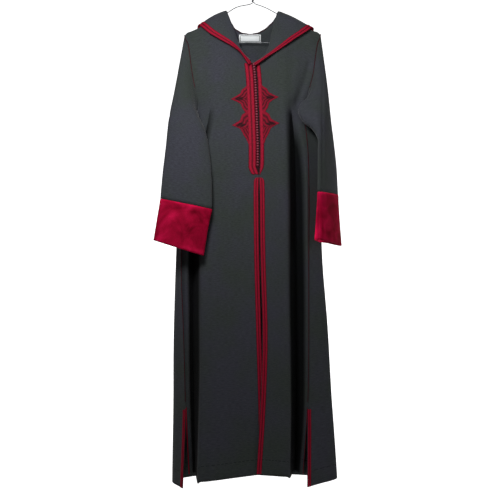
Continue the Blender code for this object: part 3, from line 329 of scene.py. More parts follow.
def skirt_rows(table, rounding, inner, hem):
    """The rows of a panel below the underarm, as (across, depth, drop)."""
    drops = np.array(BODY_DROPS, float)
    corners = read_table([row[0] for row in table], [row[1:] for row in table], drops)
    share = (drops - drops[0]) / (drops[-1] - drops[0])
    rows = [rounded_section(row, [top + (foot - top) * part for top, foot in rounding], inner)
            for part, row in zip(share, corners)]
    named = rounded_section([(index, 0.0) for index in range(len(hem))], [0.3] * len(rounding), inner)
    fall = read_table(np.arange(len(hem)), np.array(hem, float), named[:, 0]) - drops[-1]
    late = np.clip((drops - HEM_START) / (drops[-1] - HEM_START), 0, 1)
    return np.dstack([rows, drops[:, None] + late[:, None] * fall])


def patch(top, foot, first, last, steps):
    """Coons patch between four edges; steps are the rows, as fractions from the top to the foot."""
    columns = np.linspace(0, 1, len(top))[None, :, None] ** SIDE_PULL
    rows = np.asarray(steps)[:, None, None]
    eased = np.concatenate([rows, 1 - (1 - rows) ** DEPTH_EASE, rows], axis=2)
    across = (1 - columns) * first[:, None] + columns * last[:, None]
    down = (1 - eased) * top[None] + eased * foot[None]
    corners = ((1 - eased) * (1 - columns) * top[0] + (1 - eased) * columns * top[-1]
               + eased * (1 - columns) * foot[0] + eased * columns * foot[-1])
    return across + down - corners


def shoulder_line(arm, neck, point, count):
    """Points of the shoulder seam on the wire, from the neck out to the shoulder point."""
    arm = np.abs(np.array(arm, float))
    arm = arm[np.argsort(arm[:, 0])]
    reach = np.abs(np.linspace(neck[0], point[0], count))
    wire_end = arm[-1, 0]
    drop = read_table(arm[:, 0], arm[:, 1], np.minimum(reach, wire_end)) - ON_WIRE
    blend = np.clip((reach - wire_end) / (abs(point[0]) - wire_end), 0, 1) ** 2
    drop = drop * (1 - blend) + point[2] * blend
    line = np.column_stack([np.linspace(neck[0], point[0], count), np.zeros(count), drop])
    line[0] = neck
    return line


def off_wire(edge, on_wire, side, out, down, ease):
    """A row of the roll over the wire: parts of its radius out and down, or a part of NECK_EASE down
    where there is no wire. side is -1 in front and 1 behind."""
    row = edge.copy()
    row[:, 1] += side * SHOULDER_ROLL * out * on_wire
    row[:, 2] += SHOULDER_ROLL * down * on_wire + NECK_EASE * ease * (1 - on_wire)
    return row


def armhole_line(armhole, depth):
    """An armhole seam at the upper rows; depth is the table's column that it is taken from."""
    armhole = np.array(armhole, float)
    fall = (armhole[:, 3] - armhole[0, 3]) / np.ptp(armhole[:, 3])
    return read_table(fall, armhole[:, [0, depth, 3]], UPPER_STEPS)


def whole_panel(edge, on_wire, side, skirt, first, last):
    """A panel's rows: the seam, halfway round the roll, the patch down to the underarm, the skirt."""
    half, top = (off_wire(edge, on_wire, side, *parts) for parts in ROLL_ROWS)
    first[0], last[0] = top[0], top[-1]
    upper = patch(top, skirt[0], first, last, UPPER_STEPS)
    return evened(np.vstack([[edge, half], upper, skirt]), UNDERARM_ROW, 2, 2)


def normals_of(grid):
    """Unit normals of a grid: the way across it crossed with the way down it."""
    return unit(np.cross(np.gradient(grid, axis=1), np.gradient(grid, axis=0)))


def face_normals(grid):
    """Unit normals of a grid whose cells may be sheared: the sum of the cells around each point."""
    cells = np.cross(grid[:-1, 1:] - grid[1:, :-1], grid[1:, 1:] - grid[:-1, :-1])
    padded = np.pad(cells, ((1, 1), (1, 1), (0, 0)))
    return unit(padded[:-1, :-1] + padded[:-1, 1:] + padded[1:, :-1] + padded[1:, 1:])


def fine_rows(grid, times):
    """A net read again with times as many rows, on smooth curves down its columns."""
    knots = mean_run(grid[..., :3])
    places = np.interp(np.arange((len(knots) - 1) * times + 1) / times, np.arange(len(knots)), knots)
    return read_table(knots, grid, places)


def fine_net(net, times, closed=False):
    """A net of points and directions read again with times as many cells each way."""
    around = 3              # columns of a closed net that are read past its joint
    if closed:
        net = np.hstack([net[:, -around:], net, net[:, :around + 1]])
    net = fine_rows(np.swapaxes(fine_rows(net, times), 0, 1), times).swapaxes(0, 1)
    if closed:
        net = net[:, around * times:-around * times - 1]
    net[..., 3:6] = unit(net[..., 3:6])
    return net


def evened(grid, middle, reach, times):
    """Evens out the run of the columns over the rows from middle - reach to middle + reach."""
    grid = grid.copy()
    rows = np.arange(middle - reach, middle + reach + 1)
    for _ in range(times):
        grid[rows] = 0.25 * grid[rows - 1] + 0.5 * grid[rows] + 0.25 * grid[rows + 1]
    return grid


def opening_line(drops):
    """Where across the opening runs, at these drops."""
    return read_table(*np.array(OPENING_X, float).T, drops)


def front_panel(table, hem, neck, arm, point, armhole):
    """A front: rows from the neckline and shoulder seam to the hem, columns from the opening out."""
    skirt = skirt_rows(table, FRONT_ROUNDING, FRONT_INNER, hem)
    inner_rows = skirt[:, 0, 2] < OPENING_X[-1][0]
    skirt[inner_rows, 0, 0] = opening_line(skirt[inner_rows, 0, 2])
    columns = skirt.shape[1]
    neck = np.array(neck, float)
    shoulder = shoulder_line(arm, neck[-1], point, columns - NECK_CELLS)
    edge = np.vstack([neck[:-1], shoulder])
    on_wire = np.clip(np.arange(columns) - NECK_CELLS + 1.0, 0, 1)
    start, steps = edge[0] + [0, 0, NECK_EASE], np.array(UPPER_STEPS)
    drop = start[2] + steps * (UNDERARM_DROP - start[2])
    depth = start[1] + (1 - (1 - steps) ** DEPTH_EASE) * (skirt[0, 0, 1] - start[1])
    centre = np.column_stack([opening_line(drop), depth, drop])
    return whole_panel(edge, on_wire, -1, skirt, centre, armhole_line(armhole, 1))


def back_panel():
    """The back: the same rows, with columns from the viewer's left seam to the right one."""
    skirt = skirt_rows(BACK, BACK_ROUNDING, BACK_INNER, HEM_BACK)
    columns, neck = skirt.shape[1], np.array(NECK_BACK, float)
    outside = (columns - len(neck)) // 2 + 1
    left = shoulder_line(LEFT_ARM, neck[0], SHOULDER_POINT_RIGHT, outside)[::-1]
    right = shoulder_line(RIGHT_ARM, neck[-1], SHOULDER_POINT_LEFT, columns - len(neck) - outside + 2)
    edge = np.vstack([left, neck[1:-1], right])
    on_wire = np.ones(columns)
    on_wire[outside:outside + len(neck) - 2] = 0.0
    seams = (armhole_line(armhole, 2) for armhole in (ARMHOLE_RIGHT, ARMHOLE_LEFT))
    return whole_panel(edge, on_wire, 1, skirt, *seams), outside - 1


right_front = front_panel(FRONT_RIGHT, HEM_RIGHT, NECK_RIGHT, LEFT_ARM, SHOULDER_POINT_RIGHT,
                          ARMHOLE_RIGHT)
left_front = front_panel(FRONT_LEFT, HEM_LEFT, NECK_LEFT, RIGHT_ARM, SHOULDER_POINT_LEFT,
                         ARMHOLE_LEFT)
back, neck_start = back_panel()
neck_end = neck_start + len(NECK_BACK) - 1

# The side seams: fronts and back share their points down to the side slits
for front, edge in ((right_front, 0), (left_front, -1)):
    sewn = slice(UNDERARM_ROW, SEWN_ROWS)
    front[sewn, -1] = back[sewn, edge] = 0.5 * (front[sewn, -1] + back[sewn, edge])

# The opening: each front stands back from it below the top of the slit
open_rows = right_front[:, 0, 2] > SLIT_TOP + 1
right_front[open_rows, 0, 0] -= SLIT_EDGE
left_front[open_rows, 0, 0] += SLIT_EDGE

right_normal = -normals_of(right_front)
left_normal = normals_of(left_front)
back_normal = -normals_of(back)


def upright(row):
    """Directions square to a shoulder seam, up and away from the wire."""
    along = np.gradient(row, axis=0)
    normal = np.column_stack([along[:, 2], np.zeros(len(row)), -along[:, 0]])
    return unit(-normal * np.sign(normal[:, 2:]))


# Along the necklines the first rows take the direction of the cloth below them
for normal, neckline in ((right_normal, slice(0, NECK_CELLS)), (left_normal, slice(0, NECK_CELLS)),
                         (back_normal, slice(neck_start + 1, neck_end))):
    normal[:2, neckline] = normal[2, neckline]
right_normal[0, NECK_CELLS:] = upright(right_front[0, NECK_CELLS:])
left_normal[0, NECK_CELLS:] = upright(left_front[0, NECK_CELLS:])
back_normal[0, :neck_start + 1] = upright(back[0, :neck_start + 1])
back_normal[0, neck_end:] = upright(back[0, neck_end:])
for normal, edge in ((right_normal, 0), (left_normal, -1)):
    sewn = slice(UNDERARM_ROW, SEWN_ROWS)
    normal[sewn, -1] = back_normal[sewn, edge] = unit(normal[sewn, -1] + back_normal[sewn, edge])
above_slit = ~open_rows
right_normal[above_slit, 0] = left_normal[above_slit, 0] = unit(right_normal[above_slit, 0]
                                                                + left_normal[above_slit, 0])


def bell(off, half, power=2):
    """The bell curve: 1 where off is 0, and nearly 0 from twice the half width on."""
    return np.exp(-(off / half) ** power)


def bell_ridge(net, places, width, height):
    """A soft ridge along a string of (across, drop) places: height times the bell curve of the distance
    from the nearest of its straight runs."""
    places, nearest = np.array(places, float), np.inf
    for start, end in zip(places[:-1], places[1:]):
        off, way = net[..., [0, 2]] - start, end - start
        share = np.clip(off @ way / (way ** 2).sum(), 0, 1)
        nearest = np.minimum(nearest, np.linalg.norm(off - share[..., None] * way, axis=2))
    return height * bell(nearest, width)


def hanging_waves(net, size):
    """The unevenness of hanging cloth: sines multiplied, long ones down the cloth and shorter, weaker
    ones across it."""
    across, drop = net[..., 0], net[..., 2]
    return size / 2 * (np.sin(across / 33 + 1.1 * np.sin(drop / 190)) * np.sin(drop / 260 + 0.8)
                       + 0.55 * np.sin(across / 17 - drop / 150) * np.sin(drop / 105 + across / 90)
                       + 0.45 * np.sin(across / 71 + drop / 61))


def softened(share):
    """A share from 0 to 1 with a soft start and a soft end."""
    return share * share * (3 - 2 * share)


def raise_points(net, rise):
    """Moves the points of a net out along their directions."""
    net[..., :3] += net[..., 3:6] * rise[..., None]


def away_from_edges(net, first, last, top, reach):
    """0 at the named edges of a net and 1 further in than reach, in cells."""
    rows, columns = net.shape[:2]
    row, column = np.arange(rows)[:, None] / reach, np.arange(columns)[None, :] / reach
    share = np.minimum(row if top else np.inf, column if first else np.inf)
    share = np.minimum(share, (columns - 1) / reach - column if last else np.inf)
    return softened(np.clip(share, 0, 1))


def from_hem(net):
    """Length of cloth from each point of a net down to its last row."""
    steps = np.linalg.norm(np.diff(net[..., :3], axis=0), axis=2)
    return np.vstack([np.cumsum(steps[::-1], axis=0)[::-1], np.zeros((1, net.shape[1]))])


def inside_fold(net, table):
    """How deep each point of a front lies in its side fold: 1 from FOLD_DARK behind the lips on."""
    # The result is painted shade: the robe cloth's colour, sheen and gloss are darkened by it
    drops, places = [row[0] for row in table], np.array([row[2:5] for row in table], float)
    at = read_table(drops, places, np.clip(net[..., 2].mean(axis=1), drops[0], drops[-1]))
    edge, floor, lip = (at[:, None, index] for index in range(3))
    near_edge = np.abs(net[..., 0]) < np.abs(floor[..., 0])
    behind = net[..., 1] - np.where(near_edge, edge[..., 1], lip[..., 1])
    outside = np.abs(net[..., 0]) < np.abs(edge[..., 0])
    below = np.clip((net[..., 2] - drops[0]) / FOLD_DARK, 0, 1)
    return np.clip(behind / FOLD_DARK, 0, 1) * below * ~outside


def cut_places(points):
    """How far across and down the cloth each point of a net lies, in metres."""
    place = np.meshgrid(mean_run(points.swapaxes(0, 1)), mean_run(points))
    return np.stack(place, axis=-1).reshape(-1, 2) * MM


def wall(name, net, thickness, material, closed=False, **shares):
    """A closed wall of even thickness about a net of points (0 to 2) and directions (3 to 5).

    Its UV map runs across and down the cloth in metres. shares are numbers for each point of the net.
    """
    rows, columns = net.shape[:2]
    points, normal = net[..., :3], net[..., 3:6]
    outer, inner = points + normal * thickness / 2, points - normal * thickness / 2
    wide = columns + 1 if closed else columns
    number = np.arange(rows * columns).reshape(rows, columns)
    if closed:
        number = np.hstack([number, number[:, :1]])
    cells = grid_cells(rows, wide)
    where = np.arange(rows * wide).reshape(rows, wide)
    ring = [where[0, ::-1], where[-1]] if closed else [
        np.concatenate([where[0, ::-1], where[1:, 0], where[-1, 1:], where[-2::-1, -1]])]
    rim = np.vstack([np.column_stack([run[:-1], run[1:]]) for run in ring])
    below, across = points[1:, :-1] - points[:-1, :-1], points[:-1, 1:] - points[:-1, :-1]
    # world() turns the drop over, so a face that looks outwards here is wound the other way round
    if (np.cross(below, across) * normal[:-1, :-1]).sum() > 0:
        cells, rim = cells[:, ::-1], rim[:, ::-1]
    count, corner = rows * columns, number.ravel()
    walls = np.vstack([corner[cells], corner[cells[:, ::-1]] + count,
                       np.hstack([corner[rim[:, ::-1]], corner[rim] + count])])
    place = cut_places(points[:, np.arange(wide) % columns])
    uv = np.vstack([place[faces].reshape(-1, 2)
                    for faces in (cells, cells[:, ::-1], np.hstack([rim[:, ::-1], rim]))])
    shares = {label: np.tile(share.ravel(), 2) for label, share in shares.items() if share is not None}
    both = np.vstack([outer.reshape(-1, 3), inner.reshape(-1, 3)])
    thing = new_mesh(name, both, walls, material, uv, **shares)
    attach(thing, "root")
    return thing


# Fine worsted-and-polyester suiting, plain woven and pressed: a matt dark grey whose dyed fibres take
# slightly green and slightly blue patches. The real threads lie 0.4 mm apart; they are drawn 1.2 mm
# apart so that they show.
THREAD = 1.2
HEM_DEPTH = 46.0
STITCH_HALF = 1.1       # half the height of a hemming stitch
STITCH_PITCH, STITCH_SPACE = 0.006, 0.0022      # metres: half of its repeat, and half of its gap
FIBRE_BLOOM, FIBRE_GLOSS = 0.12, 0.25     # weights of sheen and gloss outside the side folds; painted fold shade cuts them down inside
DYE_PATCH = 153.8       # one patch of the dye to the next
SLUB = (11.11, 2.381)   # length and height of the thicker places in the weft
robe_cloth = new_material("charcoal_wool_suiting", Roughness=0.88, Sheen_Roughness=0.45)
cut = add_node(robe_cloth, "ShaderNodeUVMap", uv_map="cut").outputs["UV"]
threads = {"Vector": cut, "Scale": np.pi / (10 * THREAD * MM), "Distortion": 2.5, "Detail": 2.0,
           "Detail Scale": 3.0}
warp, weft = (add_node(robe_cloth, "ShaderNodeTexWave", threads, bands_direction=way).outputs["Fac"]
              for way in "XY")
weave = add_node(robe_cloth, "ShaderNodeMath", {0: warp, 1: weft}, operation="MULTIPLY").outputs[0]
slub_scale = (1 / (SLUB[0] * MM), 1 / (SLUB[1] * MM), 1)
slub_place = add_node(robe_cloth, "ShaderNodeMapping", {"Vector": cut, "Scale": slub_scale}).outputs[0]
slub = add_node(robe_cloth, "ShaderNodeTexNoise", {"Vector": slub_place, "Scale": 1.0, "Detail": 3.0,
                "Roughness": 0.65}).outputs["Fac"]
dye_place = add_node(robe_cloth, "ShaderNodeTexCoord").outputs["Object"]
dye = add_node(robe_cloth, "ShaderNodeTexNoise", {"Vector": dye_place, "Scale": 1 / (DYE_PATCH * MM),
               "Detail": 4.0, "Roughness": 0.6}).outputs["Fac"]
tint = add_node(robe_cloth, "ShaderNodeValToRGB", {"Fac": dye}, ((0.36, "#353B38"), (0.64, "#393A43")))
fleck = add_node(robe_cloth, "ShaderNodeMapRange", {"Value": slub, "From Min": 0.3, "From Max": 0.7,
                 "To Min": 0.72, "To Max": 1.25}).outputs[0]
thread = add_node(robe_cloth, "ShaderNodeMapRange", {"Value": weave, "To Min": 0.86,
                  "To Max": 1.2}).outputs[0]
# A line of hemming stitches stands HEM_DEPTH above each lower edge
hem = add_node(robe_cloth, "ShaderNodeAttribute", attribute_name="hem").outputs["Fac"]
on_line = add_node(robe_cloth, "ShaderNodeMath", {0: hem, 1: HEM_DEPTH, 2: STITCH_HALF},
                   operation="COMPARE").outputs[0]
cut_across = add_node(robe_cloth, "ShaderNodeSeparateXYZ", {"Vector": cut}).outputs["X"]
dash = add_node(robe_cloth, "ShaderNodeMath", {0: cut_across, 1: STITCH_PITCH}, operation="PINGPONG")
on_dash = add_node(robe_cloth, "ShaderNodeMath", {0: dash.outputs[0], 1: STITCH_SPACE},
                   operation="GREATER_THAN").outputs[0]
stitch = add_node(robe_cloth, "ShaderNodeMath", {0: on_line, 1: on_dash},
                  operation="MULTIPLY").outputs[0]
stitch_share = add_node(robe_cloth, "ShaderNodeMapRange", {"Value": stitch, "To Min": 1.0,
                        "To Max": 0.45}).outputs[0]
# Painted shade: deep in the side folds the cloth's colour, sheen and gloss are darkened, down to 0.16 of
# their own
painted_fold_shade = add_node(robe_cloth, "ShaderNodeAttribute", attribute_name="shade").outputs["Fac"]
fold_shade_share = add_node(robe_cloth, "ShaderNodeMapRange", {"Value": painted_fold_shade, "To Min": 1.0,
                       "To Max": 0.16}).outputs[0]
light_share = fleck
for share in (thread, stitch_share, fold_shade_share):
    light_share = add_node(robe_cloth, "ShaderNodeMath", {0: light_share, 1: share},
                           operation="MULTIPLY").outputs[0]
colour = add_node(robe_cloth, "ShaderNodeVectorMath", {0: tint.outputs["Color"], "Scale": light_share},
                  operation="SCALE").outputs[0]
bloom, gloss = (add_node(robe_cloth, "ShaderNodeMath", {0: fold_shade_share, 1: weight},
                         operation="MULTIPLY").outputs[0] for weight in (FIBRE_BLOOM, FIBRE_GLOSS))
height = add_node(robe_cloth, "ShaderNodeMath", {0: weave, 1: slub}, operation="ADD").outputs[0]
bump = add_node(robe_cloth, "ShaderNodeBump", {"Height": height, "Strength": 0.5, "Distance": 0.0004})
shader_takes(robe_cloth, Base_Color=colour, Sheen_Weight=bloom, Specular_IOR_Level=gloss,
             Normal=bump.outputs[0])

NET_CELLS = 4           # cells of the finished net for each cell of the table's
WAVES = 1.3             # height of the long waves in the cloth
FOLD_DARK = 16.0        # how far behind the lips of a side fold the painted shade reaches its full depth
# Creases from packing: their places, half width and height
FRONT_CREASES = (
    (((-128, 622), (-60, 620), (20, 621), (100, 624)), 3.5, -1.7),
    (((-128, 613), (-60, 611), (20, 612), (100, 615)), 4.5, 1.1),
    (((-124, 1081), (-40, 1075), (8, 1066)), 3.5, -1.5),
    (((40, 1065), (70, 1075)), 3.5, -1.3),
    (((-31, 309), (-58, 345), (-96, 408)), 5.0, 2.4),
    (((-110, 330), (-70, 300), (-34, 292)), 8.0, 1.6),
    (((-20, 640), (-75, 760), (-120, 905)), 10.0, 2.0),
    (((60, 470), (84, 560), (92, 700)), 11.0, 1.8),
    (((176, 268), (166, 305), (150, 348), (136, 390)), 12.0, -7.0),
    (((134, 262), (128, 310), (116, 372)), 14.0, 1.6),
)
panels = {}
for panel_name, points, directions, edges in (
        ("front_right", right_front, right_normal, (False, True)),
        ("front_left", left_front, left_normal, (False, True)),
        ("back", back, back_normal, (True, True))):
    net = fine_net(np.dstack([points, directions]), NET_CELLS)
    rise = hanging_waves(net, WAVES)
    if panel_name != "back":
        rise = rise + sum(bell_ridge(net, *crease) for crease in FRONT_CREASES)
    raise_points(net, rise * away_from_edges(net, *edges, True, 2 * NET_CELLS))
    panels[panel_name] = net
    # Painted shade darkens the fronts deep inside their side folds
    fold_table = {"front_right": FRONT_RIGHT, "front_left": FRONT_LEFT}.get(panel_name)
    fold_shade = inside_fold(net, fold_table) if fold_table else None
    piece = wall(f"{panel_name}_cloth", net, CLOTH, robe_cloth, hem=from_hem(net), shade=fold_shade)
    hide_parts(panel_name)


# ---- Sleeves --------------------------------------------------------------------------------------
# Long flat-hanging sleeves of the same cloth, sewn into the armholes. Each is a tube of rings whose
# first is the armhole's own seam; the sleeve on the wearer's left is turned half edge-on.
# A row for each ring: middle, then the ways to the outer, inner and front sides (across, depth, drop)
SLEEVE_RIGHT = (
    ((-187, 0, 291), (-24, 0, -114), (22, 0, 114), (-3, -18, 0)),
    ((-190, -9, 335), (-35, 0, -78), (14, 0, 94), (-8, -25, 0)),
    ((-197, -26, 402), (-44, 0, -44), (42, -8, 48), (-4, -24, 0)),
    ((-198, -40, 466), (-57, 0, -30), (57, -4, 30), (-2, -20, 0)),
    ((-197, -54, 549), (-67, 0, -17), (67, 0, 18), (0, -16, 0)),
    ((-198, -64, 628), (-74, 0, -15), (74, 0, 15), (0, -14, 0)),
    ((-200, -71.5, 703), (-77, 0, -15.5), (77, 0, 15.5), (0, -13, 0)),
)
SLEEVE_LEFT = (
    ((182, 0, 290), (27, 0, -115), (-27, 0, 115), (3, -18, 0)),
    ((193, -4, 334), (29, 2, -66), (-26, 0, 102), (4, -30, -2)),
    ((209, -10, 410), (27, 6, -26), (-33, -12, 48), (-6, -46, -2)),
    ((222, -16, 480), (19, 8, -10), (-17, -9, 8), (-20, -55, 0)),
    ((228, -20, 560), (16, 8, 0), (-16, -8, 0), (-29, -60, 0)),
    ((232, -24.5, 668), (14, 7, 0), (-20, -10, 0), (-33, -64, 0)),
)
SLEEVE_RINGS = (0.0, 0.09, 0.18, 0.27, 0.36, 0.45, 0.54, 0.63, 0.72, 0.81, 0.9, 1.0)
SLEEVE_EVENINGS = 2     # times that the rings near the armhole are evened out
ARMHOLE_FADE = 0.42     # part of the sleeve over which the armhole's own outline dies away


def armhole_loop(front, back_edge):
    """The armhole seam: from the shoulder down the front to the underarm, then up the back."""
    return np.vstack([front[:UNDERARM_ROW + 1], back_edge[UNDERARM_ROW - 1:0:-1]])


def tube_rings(table, places, turns):
    """Rings of a flattened tube: the middle, the cosine of the turn times the outer or inner way, and
    its sine times the front way. turns holds an angle for each point, or a row of them for a ring."""
    rows = np.array(table, float)
    knots = length_along(rows[:, 0])
    rows = read_table(knots / knots[-1], rows, places)
    centre, outer, inner, front = (rows[:, index][:, None] for index in range(4))
    turns = np.broadcast_to(turns, (len(places), np.shape(turns)[-1]))[:, :, None]
    outward = np.cos(turns)
    across = np.maximum(outward, 0) * outer + np.maximum(-outward, 0) * inner
    return centre + across + np.sin(turns) * front


def sleeve_rings(table, loop):
    """A sleeve's rings: the first is the armhole itself, whose outline fades along the sleeve."""
    half = UNDERARM_ROW
    count = len(loop)
    down = length_along(loop[:half + 1])
    up = length_along(np.vstack([loop[half:], loop[:1]]))
    at_armhole = np.concatenate([np.pi * down / down[-1], np.pi + np.pi * up[1:-1] / up[-1]])
    even = np.arange(count) * 2 * np.pi / count
    places = np.array(SLEEVE_RINGS)
    fade = softened(np.clip(1 - places / ARMHOLE_FADE, 0, 1)[:, None])
    rings = tube_rings(table, places, fade * at_armhole + (1 - fade) * even)
    rings = rings + fade[:, :, None] * (loop - rings[0])[None]
    for _ in range(SLEEVE_EVENINGS):
        beside = (np.roll(rings, 1, 1) + np.roll(rings, -1, 1))[1:-1]
        even = 0.25 * beside + 0.25 * (rings[:-2] + rings[2:])
        rings[1:-1] += np.clip(2 * fade[1:-1, :, None], 0, 1) * (even - rings[1:-1])
    return rings


def ring_normals(rings):
    """Unit normals of a closed tube, away from its middle."""
    joined = np.hstack([rings[:, -1:], rings, rings[:, :1]])
    normal = face_normals(joined)[:, 1:-1]
    return normal * np.sign((normal * (rings - rings.mean(axis=1, keepdims=True))).sum())


even_turns = np.arange(2 * UNDERARM_ROW) * np.pi / UNDERARM_ROW
under_arm = np.sin(even_turns / 2) ** 10     # 1 at the underarm, nothing from a third of the way up
sleeves = {}
for hand, table, front, normal, edge in (("right", SLEEVE_RIGHT, right_front, right_normal, 0),
                                         ("left", SLEEVE_LEFT, left_front, left_normal, -1)):
    rings = sleeve_rings(table, armhole_loop(front[:, -1], back[:, edge]))
    turned = ring_normals(rings)
    body = armhole_loop(normal[:, -1], back_normal[:, edge])
    own = under_arm[:, None]
    both = unit(turned[0] + body) * (1 - own)
    body, turned[0] = unit(both + body * own), unit(both + turned[0] * own)
    normal[:UNDERARM_ROW + 1, -1] = body[:UNDERARM_ROW + 1]
    back_normal[UNDERARM_ROW, edge] = body[UNDERARM_ROW]
    back_normal[1:UNDERARM_ROW, edge] = body[:UNDERARM_ROW:-1]
    back_normal[0, edge] = body[0]
    sleeves[hand] = (rings, turned)


def piece_net(rings, directions):
    """A tube's net, fine both ways."""
    return fine_net(np.dstack([rings, directions]), NET_CELLS, closed=True)


def turns_round(net):
    """Where each column of a tube's net lies round it, in radians."""
    return np.arange(net.shape[1]) * 2 * np.pi / net.shape[1]


def facing_front(points):
    """A net of points, all of whose directions look straight forwards."""
    return np.dstack([points, np.broadcast_to([0.0, -1.0, 0.0], points.shape)])


# Creases on each sleeve: places (across, drop), half width, height
SLEEVE_CREASES = {
    "right": ((((-262, 438), (-215, 430), (-166, 436)), 5.0, -1.2),
              (((-186, 470), (-206, 520), (-214, 600)), 12.0, 1.0)),
    "left": ((((167, 410), (184, 398), (203, 380)), 3.5, -2.0),
             (((190, 430), (214, 520), (224, 610)), 8.0, 1.2),
             (((212, 250), (215, 320), (211, 390), (209, 470), (208, 560), (208, 650)), 4.0, -2.6),
             (((200, 300), (188, 350), (158, 398)), 7.0, 1.8)),
}
# Under the arm the left sleeve gathers into a pointed fold that stands over the front: its drop, the
# heights over which it dies away above and below, and how far its point is drawn (across, depth)
FOLD_DROP, FOLD_ABOVE, FOLD_BELOW = 396.0, 110.0, 120.0
FOLD_DRAW = np.array([-64.0, -22.0, 0.0])
FOLD_POINT = 1.3        # above 1 the fold comes to a point
FOLD_TURN, FOLD_HALF = 2.7, 0.75        # its middle and half width round the sleeve, in radians
STAY_WIDTH, STAY_HEIGHT, STAY_DEPTH = 20.0, 18.0, -2.0
for hand, (rings, turned) in sleeves.items():
    net = piece_net(rings, turned)
    if hand == "left":
        off = net[..., 2] - FOLD_DROP
        near = np.maximum(1 - np.abs(off) / np.where(off < 0, FOLD_ABOVE, FOLD_BELOW), 0)
        inner_side = bell(turns_round(net) - FOLD_TURN, FOLD_HALF)
        sewn_share = away_from_edges(net, False, False, True, 3 * NET_CELLS)
        net[..., :3] += (near ** FOLD_POINT * inner_side * sewn_share)[..., None] * FOLD_DRAW
    rise = hanging_waves(net, 0.8 * WAVES)
    rise = rise + sum(bell_ridge(net, *crease) for crease in SLEEVE_CREASES[hand])
    raise_points(net, rise * away_from_edges(net, False, False, True, 4 * NET_CELLS))
    piece = wall(f"sleeve_{hand}_cloth", net, CLOTH, robe_cloth, closed=True)
    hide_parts(f"sleeve_{hand}")
    # A small stay of the same cloth is sewn inside, behind the point where four seams meet
    seam_point = rings[0, UNDERARM_ROW]
    across, drop = np.meshgrid(np.linspace(-0.5, 0.5, 7) * STAY_WIDTH,
                               np.linspace(-0.4, 0.6, 7) * STAY_HEIGHT)
    stay = seam_point + np.stack([across, 0 * across + STAY_DEPTH, drop], axis=-1)
    piece = wall(f"underarm_stay_{hand}", facing_front(stay), CLOTH, robe_cloth)


# ---- Cuffs ----------------------------------------------------------------------------------------
# Deep turned-up cuffs of crimson cotton velvet, sewn on along their upper edge. The cut pile is
# brushed this way and that by handling, so it lies in lighter and darker patches.
# The same columns as the sleeves'
CUFF_RIGHT = (
    ((-200.2, -71.5, 703.8), (-76.5, 0, -15.5), (76.5, 0, 15.5), (0, -13, 0)),
    ((-212, -75, 770), (-75, 0, -19), (75, 0, 19), (0, -15, 0)),
    ((-223, -79, 836), (-74, 0, -23), (75, 0, 23), (0, -17, 0)),
)
CUFF_LEFT = (
    ((232, -24.5, 668.7), (14, 7, 0), (-20, -10, 0), (-33, -64, 0)),
    ((235, -27, 745), (15, 7, 2), (-21, -11, -2), (-35, -66, -4)),
    ((238, -29, 820), (16, 8, 2), (-22, -12, -2), (-38, -68, -9)),
)
VELVET = 2.0
PILE_PATCH = 58.82      # one brushed patch to the next
PILE_GRAIN = 4 / 3      # one tuft to the next, drawn four times as coarse as the real ones to show
# Cotton velvet swallows the light that falls along its pile, and glows where it is seen from the side
velvet = new_material("crimson_cotton_velvet", Roughness=0.85, Sheen_Weight=0.7, Sheen_Roughness=0.3,
                      Sheen_Tint="#FF2048", Specular_IOR_Level=0.06)
pile_place = add_node(velvet, "ShaderNodeTexCoord").outputs["Object"]
brushed = add_node(velvet, "ShaderNodeTexNoise", {"Vector": pile_place, "Scale": 1 / (PILE_PATCH * MM),
                   "Detail": 3.0, "Roughness": 0.5, "Distortion": 0.8}).outputs["Fac"]
nap = add_node(velvet, "ShaderNodeTexNoise", {"Vector": pile_place, "Scale": 1 / (PILE_GRAIN * MM),
               "Detail": 2.0}).outputs["Fac"]
patches = add_node(velvet, "ShaderNodeValToRGB", {"Fac": brushed},
                   ((0.3, "#6C0019"), (0.5, "#9C062E"), (0.72, "#C61044"))).outputs["Color"]
# Painted highlight: over a folded side and along the upper edge the colour is made up to three times as
# bright, where light catches the pile
nap_share = add_node(velvet, "ShaderNodeMapRange", {"Value": nap, "From Min": 0.3, "From Max": 0.7,
                     "To Min": 0.78, "To Max": 1.15}).outputs[0]
leaning = add_node(velvet, "ShaderNodeAttribute", attribute_name="lean").outputs["Fac"]
lean_share = add_node(velvet, "ShaderNodeMapRange", {"Value": leaning, "To Min": 1.0,
                      "To Max": 3.0}).outputs[0]
pile_share = add_node(velvet, "ShaderNodeMath", {0: nap_share, 1: lean_share},
                      operation="MULTIPLY").outputs[0]
colour = add_node(velvet, "ShaderNodeVectorMath", {0: patches, "Scale": pile_share}, operation="SCALE")
height = add_node(velvet, "ShaderNodeMath", {0: nap, 1: brushed}, operation="ADD").outputs[0]
bump = add_node(velvet, "ShaderNodeBump", {"Height": height, "Strength": 0.35, "Distance": 0.0012})
shader_takes(velvet, Base_Color=colour.outputs[0], Normal=bump.outputs[0])

